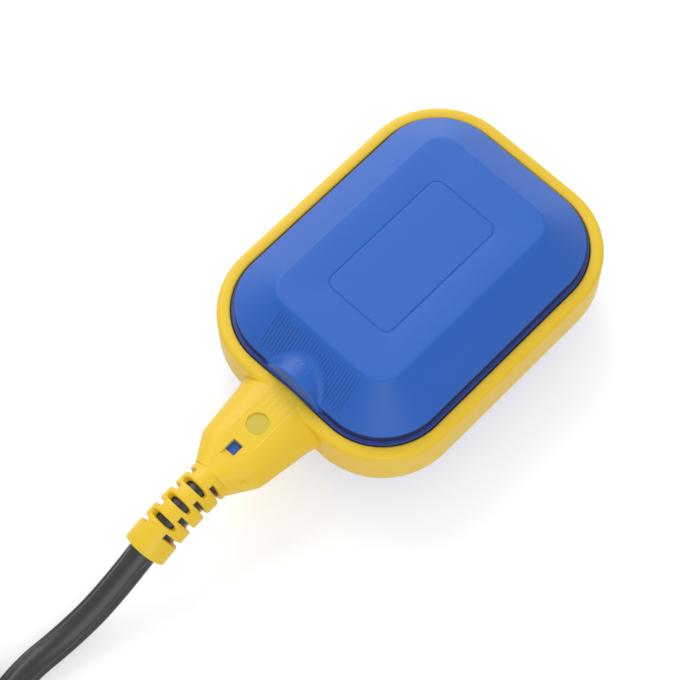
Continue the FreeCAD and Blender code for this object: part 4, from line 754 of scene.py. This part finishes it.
# %% A row of ribs
rows = bpy.data.node_groups.new("rib_row", "GeometryNodeTree")
for label, kind in (("Count", "NodeSocketInt"), ("Pitch", "NodeSocketFloat"), ("Length", "NodeSocketFloat"),
                    ("Radius", "NodeSocketFloat"), ("Material", "NodeSocketMaterial")):
    rows.interface.new_socket(label, in_out="INPUT", socket_type=kind)
rows.interface.new_socket("Geometry", in_out="OUTPUT", socket_type="NodeSocketGeometry")
given = add(rows, "NodeGroupInput").outputs
far_end = add(rows, "ShaderNodeCombineXYZ", {"X": given["Length"]})
bar_line = add(rows, "GeometryNodeCurvePrimitiveLine", {"End": far_end.outputs[0]})
bar_points = add(rows, "GeometryNodeResampleCurve", {"Curve": bar_line.outputs[0], "Count": 16})
share = add(rows, "GeometryNodeSplineParameter").outputs["Factor"]
rest = add(rows, "ShaderNodeMath", {0: 1.0, 1: share}, operation="SUBTRACT")
nearer = add(rows, "ShaderNodeMath", {0: share, 1: rest.outputs[0]}, operation="MINIMUM")
taper = add(rows, "ShaderNodeMapRange", {"Value": nearer.outputs[0], "From Max": 0.15, "To Min": 0.2})
thick = add(rows, "ShaderNodeMath", {0: taper.outputs[0], 1: given["Radius"]}, operation="MULTIPLY")
section = add(rows, "GeometryNodeCurvePrimitiveCircle", {"Resolution": 10, "Radius": 1.0})
bar = add(rows, "GeometryNodeCurveToMesh", {
    "Curve": bar_points.outputs[0], "Profile Curve": section.outputs[0], "Scale": thick.outputs[0],
    "Fill Caps": True})
step_over = add(rows, "ShaderNodeCombineXYZ", {"Y": given["Pitch"]})
places = add(rows, "GeometryNodeMeshLine", {"Count": given["Count"], "Offset": step_over.outputs[0]})
copies = add(rows, "GeometryNodeInstanceOnPoints", {"Points": places.outputs[0], "Instance": bar.outputs[0]})
real = add(rows, "GeometryNodeRealizeInstances", {"Geometry": copies.outputs[0]})
dressed = add(rows, "GeometryNodeSetMaterial", {"Geometry": real.outputs[0], "Material": given["Material"]})
add(rows, "NodeGroupOutput", {"Geometry": dressed.outputs[0]})
names = {item.name: item.identifier for item in rows.interface.items_tree}
print(len(rows.nodes), "nodes in", rows.name)


# %% From the tree to a mesh
def rib_row(name, slot, material, start, fall, **inputs):
    """A row of ribs from a start in mm from the float's middle, falling by an angle towards +x."""
    holder = bpy.data.objects.new(name, bpy.data.meshes.new(name))
    bpy.context.scene.collection.objects.link(holder)
    modifier = holder.modifiers.new("ribs", "NODES")
    for label, value in (*inputs.items(), ("Material", material)):
        modifier[names[label]] = value
    modifier.node_group = rows
    bpy.context.view_layer.update()
    mesh = bpy.data.meshes.new_from_object(holder.evaluated_get(bpy.context.evaluated_depsgraph_get()))
    bpy.data.objects.remove(holder)
    tilt = Matrix.Rotation(math.radians(fall), 4, "Y")
    mesh.transform(Matrix.Translation(HOME + Vector(start) * MM) @ tilt)
    mesh.materials.clear()
    made = smooth_object(name, mesh, material)
    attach(made, "root")
    print(name, len(mesh.polygons), "faces")


# %% [markdown]
# Each row is one call with its own numbers. The grip ribs follow the slope, and the lower ones mirror
# the upper; their deeper blue is painted shade between them. The lines on the neck are hardly higher
# than the skin, so a paler yellow makes them read.

# %% Ribs and flow lines
# The ribs' deeper blue is painted shade, the shade that falls between the ridges.
rib_painted_shade_blue = moulded_plastic("polypropylene_blue_ribs_painted_shade", "#1C4FA2", "#19499A", 0.5)
pale_yellow = moulded_plastic("polypropylene_yellow_thin", "#F9DF60", "#F6DA58", 0.4)
RIB_START, RIB_PITCH, RIBS = -46.7, 1.05, 30
rib_side, rib_level = -RIB_PITCH * (RIBS - 1) / 2, STEP + (RIB_START + FOOT[0]) * SLOPE
rib_fall = math.degrees(math.atan(SLOPE))
for side, name in ((1, "grip_ribs_upper"), (-1, "grip_ribs_lower")):
    rib_row(name, "shell_blue", rib_painted_shade_blue, (RIB_START, rib_side, side * rib_level), -side * rib_fall,
            Count=RIBS, Pitch=RIB_PITCH * MM, Length=13.4 * MM, Radius=0.11 * MM)
for name, start, fall, count, pitch, long, radius in (
        ("neck_edge_lines", (-69.5, -4.8, 6.98), -3.52, 2, 9.6, 12.2, 0.17),
        ("rim_edge_lines", (-57.6, -4.8, 7.7), 0, 2, 9.6, 7.2, 0.12),
        ("neck_flow_lines", (-59.0, -2.85, 7.62), -0.8, 4, 1.9, 8.6, 0.12)):
    rib_row(name, "rim_yellow", pale_yellow, start, fall, Count=count, Pitch=pitch * MM, Length=long * MM,
            Radius=radius * MM)

# %% [markdown]
# The rim, the neck and the strain relief are one moulding in yellow polypropylene. The rim is a loft
# round the float that closes on itself. Its inner wall bulges a little to give the boss room, which is
# a soft bell added to the points of the rings on that side.

# %% Rim
RIM = (53.4, 40.5, 24.8)
BORE = (49.37, 36.47, 20.77)
BULGE, BULGE_HALF = 0.55, 7.0


def rim_mesh():
    """The rim, with a shallow bulge of its inner wall in front of the boss."""
    shell = bmesh.new()
    stations = [((*RIM, -LEDGE, 0), 1.7), ((*RIM, LEDGE, 0), 1.7), ((*BORE, LEDGE, 0), 0.7),
                ((*BORE, -LEDGE, 0), 0.7)]
    rings = []
    for size in soften(stations):
        inside = min(max((RIM[0] - size[0]) / (RIM[0] - BORE[0]), 0), 1)
        ring = []
        for point in ring_points(*size):
            if point.x < -40:
                point.x += BULGE * inside * math.exp(-(point.y / BULGE_HALF) ** 2)
            ring.append(shell.verts.new(point * MM))
        rings.append(ring)
    join_rings(shell, rings, whole=True)
    return finished(shell, "rim")


rim = rim_mesh()
print("rim", len(rim.polygons), "faces")

# %% [markdown]
# The neck leads from the rim to the strain relief. It is a loft along the cable: each section is flat
# on top and below with two round flanks, and the knee before its small end is one of the stations.

# %% Section of the neck
NECK = [((15.7, LEDGE - 0.15, 4.8, -50.3), 0), ((15.7, LEDGE, 4.8, -51.5), 0),
        ((14.0, LEDGE, 4.8, -57.4), 1.0), ((11.7, 6.75, 4.8, -73.5), 1.0), ((6.2, 6.2, 1.2, -81.4), 0)]


def neck_points(half, rise, flat, x):
    """A section of the neck: flat on top and below, with two round flanks."""
    radius = ((half - flat) ** 2 + rise ** 2) / (2 * rise)
    end = math.atan2(radius - rise, half - flat)
    flank = []
    for step in range(9):
        angle = math.pi / 2 + (end - math.pi / 2) * step / 8
        flank.append((flat + radius * math.cos(angle), rise - radius + radius * math.sin(angle)))
    quarter = [(flat * step / 4, rise) for step in range(4)] + flank
    half_way = quarter + [(y, -z) for y, z in quarter[-2:0:-1]] + [(0, -rise)]
    return [Vector((x, y, z)) for y, z in half_way + [(-y, z) for y, z in half_way[-2:0:-1]]]


print("a section of the neck has", len(neck_points(*NECK[0][0])), "points")

# %% [markdown]
# Slides and pins in the mould leave the window, the dimple and the room for the cable. Here exact
# booleans do what the slides do. A window built into the loft would need its own stations all round.

# %% Tools that cut
WINDOW_X, WINDOW_HALF, DIMPLE_X, DIMPLE_RADIUS, DIMPLE_FLOOR = -71.9, 1.8, -62.6, 3.35, 7.05
print(f"window {2 * WINDOW_HALF} mm square, dimple {2 * DIMPLE_RADIUS} mm across")


def prism(ends):
    """A closed prism between two outlines."""
    shell = bmesh.new()
    ends = [[shell.verts.new(Vector(point) * MM) for point in end] for end in ends]
    join_rings(shell, ends)
    for end in ends:
        shell.faces.new(end)
    return finished(shell, "cutter")


def rod(radius, x0, x1, y, z0, z1, sides=64):
    """A closed rod between two points, along X or Z."""
    shell = bmesh.new()
    start, end = Vector((x0, y, z0)), Vector((x1, y, z1))
    first = Vector((0, 1, 0))
    second = (end - start).normalized().cross(first)
    ends = [[shell.verts.new((middle + (first * math.cos(2 * math.pi * step / sides)
                                        + second * math.sin(2 * math.pi * step / sides)) * radius) * MM)
             for step in range(sides)] for middle in (start, end)]
    join_rings(shell, ends)
    for ring in ends:
        shell.faces.new(ring)
    return finished(shell, "cutter")


def cut(mesh, cutters):
    """A mesh with others taken out of it."""
    holder = bpy.data.objects.new("cut", mesh)
    bpy.context.scene.collection.objects.link(holder)
    tools = []
    for cutter in cutters:
        tool = bpy.data.objects.new("cutter", cutter)
        bpy.context.scene.collection.objects.link(tool)
        modifier = holder.modifiers.new("cut", "BOOLEAN")
        modifier.operation, modifier.solver, modifier.object = "DIFFERENCE", "EXACT", tool
        tools.append(tool)
    bpy.context.view_layer.update()
    result = bpy.data.meshes.new_from_object(holder.evaluated_get(bpy.context.evaluated_depsgraph_get()))
    for thing in tools + [holder]:
        bpy.data.objects.remove(thing)
    return result


# %% The neck
def neck_mesh():
    """The neck, cut for its window, dimple, sleeve and cable."""
    shell = bmesh.new()
    rings = [[shell.verts.new(point * MM) for point in neck_points(*size)] for size in soften(NECK)]
    join_rings(shell, rings)
    shell.faces.new(rings[0])
    shell.faces.new(rings[-1])
    cable_side, body_side, low = WINDOW_X - WINDOW_HALF, WINDOW_X + WINDOW_HALF, SLEEVE_RISE - 0.3
    window = [(cable_side, low), (cable_side, 9), (body_side, 9), (body_side, low)]
    ramp = [(cable_side + 0.05, 9), (cable_side + 0.05, 5.6), (cable_side - 2.9, 6.75), (cable_side - 2.9, 9)]
    cutters = [prism([[(x, side * half, z) for x, z in outline] for side in (-1, 1)])
               for outline, half in ((window, WINDOW_HALF), (ramp, WINDOW_HALF - 0.05))]
    room = sleeve_outline(0.1)
    room += [(y, -z) for y, z in room[-2:0:-1]]
    cutters += [prism([[(x, y, z) for y, z in room] for x in (-75.1, -50.0)]),
                rod(4.4, -84.0, -74.0, 0, 0, 0), rod(DIMPLE_RADIUS, DIMPLE_X, DIMPLE_X, 0, DIMPLE_FLOOR, 9.0)]
    return cut(finished(shell, "neck"), cutters)


neck = neck_mesh()
print("neck", len(neck.polygons), "faces")

# %% [markdown]
# The strain relief is a tube that lets the cable bend without a kink. Cuts from both sides stand
# between cuts from above and below. Seven booleans on a bent tube are slow and leave hard rims, so it
# is a grid round its line, in which the cuts are cells left out and the skin curves in at their edges.

# %% Shape of the relief
RELIEF_BACK, RELIEF_END, RELIEF_THIN, RELIEF_THICK, RELIEF_BORE = -2.0, 25.4, 6.3, 6.65, 4.4
SIDE_CUTS = [(1.0 + 5.78 * row) for row in range(4)]
TOP_CUTS = [(3.89 + 5.78 * row) for row in range(3)]
CUT_HALF, LENS_HALF, LENS_REACH, EDGE_ROUND, SIDE_FROM, TOP_TO = 0.75, 0.9, 4.7, 0.45, 33.75, 45.0


def lens(angle):
    """Half width of a cut from above or below at an angle from the top."""
    across = min(abs(math.sin(angle)) * RELIEF_THIN / LENS_REACH, 1)
    return LENS_HALF * math.sqrt(max(1 - across ** 4, 0.05))


def off_top(degrees):
    """Angle from the nearest of the top and the bottom."""
    folded = degrees % 180
    return min(folded, 180 - folded)


def relief_lines(angle):
    """Places of the grid's rings at an angle: six to a cut, which lies between the third and fourth."""
    lines = [RELIEF_BACK, RELIEF_BACK + 0.2, RELIEF_BACK + 0.7]
    rows = sorted([(place, CUT_HALF) for place in SIDE_CUTS] + [(place, lens(angle)) for place in TOP_CUTS])
    for place, half in rows:
        lines += [place + side * (half + off) for side, offs in ((-1, (0.5, 0.15, 0)), (1, (0, 0.15, 0.5)))
                  for off in offs]
    return lines + [RELIEF_END - 0.4, RELIEF_END - 0.1, RELIEF_END]


def edge_drop(distance):
    """How far the skin curves in at a distance from an edge."""
    gone = max(EDGE_ROUND - distance, 0)
    return EDGE_ROUND - math.sqrt(EDGE_ROUND ** 2 - gone ** 2)


def relief_radius(place, degrees):
    """Outer radius, rounded towards the cuts and the ends."""
    radius = RELIEF_THIN + (RELIEF_THICK - RELIEF_THIN) * max(place, 0) / RELIEF_END
    beside, near = off_top(degrees), [RELIEF_END - place + 0.2]
    for cut_at in SIDE_CUTS:
        near.append(math.hypot(max(abs(place - cut_at) - CUT_HALF, 0),
                               math.radians(max(SIDE_FROM - beside, 0)) * radius))
    for cut_at in TOP_CUTS:
        near.append(math.hypot(max(abs(place - cut_at) - lens(math.radians(degrees)), 0),
                               math.radians(max(beside - TOP_TO, 0)) * radius))
    return radius - edge_drop(min(near))


print(f"relief {RELIEF_END:.1f} mm long, {2 * relief_radius(RELIEF_END - 1, 90):.1f} mm across at its end")


# %% The relief
TURNS = 96


def relief_mesh():
    """The slotted tube round the cable."""
    shell = bmesh.new()
    skins = {}
    degrees = [360 * step / TURNS for step in range(TURNS)]
    for step, turn in enumerate(degrees):
        angle = math.radians(turn)
        for row, place in enumerate(relief_lines(angle)):
            bend = max(place, 0) / (RELIEF_BEND / MM)
            line = Vector((-RELIEF_START / MM - RELIEF_BEND / MM * math.sin(bend) - min(place, 0), 0,
                           -RELIEF_BEND / MM * (1 - math.cos(bend))))
            away = Vector((-math.sin(bend) * math.cos(angle), math.sin(angle),
                           math.cos(bend) * math.cos(angle)))
            for skin, radius in enumerate((relief_radius(place, turn), RELIEF_BORE)):
                skins[skin, row, step] = shell.verts.new((line + away * radius) * MM)
    cuts = sorted([(place, "side") for place in SIDE_CUTS] + [(place, "top") for place in TOP_CUTS])
    kinds = [kind for place, kind in cuts]
    rows = len(relief_lines(0)) - 1

    def solid(row, step):
        if row < 0 or row >= rows:
            return False
        group, inside = divmod(row - 3, 6)
        if row < 3 or group >= len(kinds) or inside != 2:
            return True
        beside = off_top(degrees[step % TURNS] + 180 / TURNS)
        return beside > TOP_TO if kinds[group] == "top" else beside < SIDE_FROM

    for row in range(rows):
        for step in range(TURNS):
            if not solid(row, step):
                continue
            after = (step + 1) % TURNS
            corners = ((row, step), (row, after), (row + 1, after), (row + 1, step))
            for skin in (0, 1):
                shell.faces.new([skins[skin, *corner] for corner in corners])
            for there, a, b in (((row - 1, step), corners[0], corners[1]),
                                ((row + 1, step), corners[3], corners[2]),
                                ((row, step - 1), corners[0], corners[3]),
                                ((row, step + 1), corners[1], corners[2])):
                if not solid(*there):
                    shell.faces.new((skins[0, *a], skins[0, *b], skins[1, *b], skins[1, *a]))
    return finished(shell, "relief")


relief = relief_mesh()
print("relief", len(relief.polygons), "faces")

# %% [markdown]
# The three meshes overlap where they meet, as bosses on a mould do, and are joined into one piece with
# a small nub that an ejector pin left. A boolean union would gain nothing that shows.
# The dimple's floor has a coarser grain than the rest, so its faces take a finish of their own.

# %% One moulding
NUB, NUB_RADIUS = Vector((-77.0, -8.5, 3.75)) * MM, 0.55 * MM
insert_yellow = moulded_plastic("polypropylene_yellow_coarse", "#D6C040", "#CDB73A", 0.55, grain=0.5 * MM)
shell = bmesh.new()
for mesh in (rim, neck, relief):
    shell.from_mesh(mesh)
bmesh.ops.create_uvsphere(shell, u_segments=16, v_segments=10, radius=NUB_RADIUS,
                          matrix=Matrix.Translation(NUB))
bmesh.ops.translate(shell, verts=shell.verts, vec=HOME)
mesh = bpy.data.meshes.new("surround_moulding")
shell.to_mesh(mesh)
shell.free()
mesh.materials.clear()
surround = smooth_object("surround_moulding", mesh, yellow)
mesh.set_sharp_from_angle(angle=math.radians(35))
mesh.materials.append(insert_yellow)
for face in mesh.polygons:
    x, y, z = (face.center - HOME) / MM
    if abs(z - DIMPLE_FLOOR) < 0.01 and math.hypot(x - DIMPLE_X, y) < DIMPLE_RADIUS:
        face.material_index = 1
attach(surround, "root")
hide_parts("surround_frame")
print("surround", len(mesh.polygons), "faces")

# %% Update the scene
bpy.context.view_layer.update()
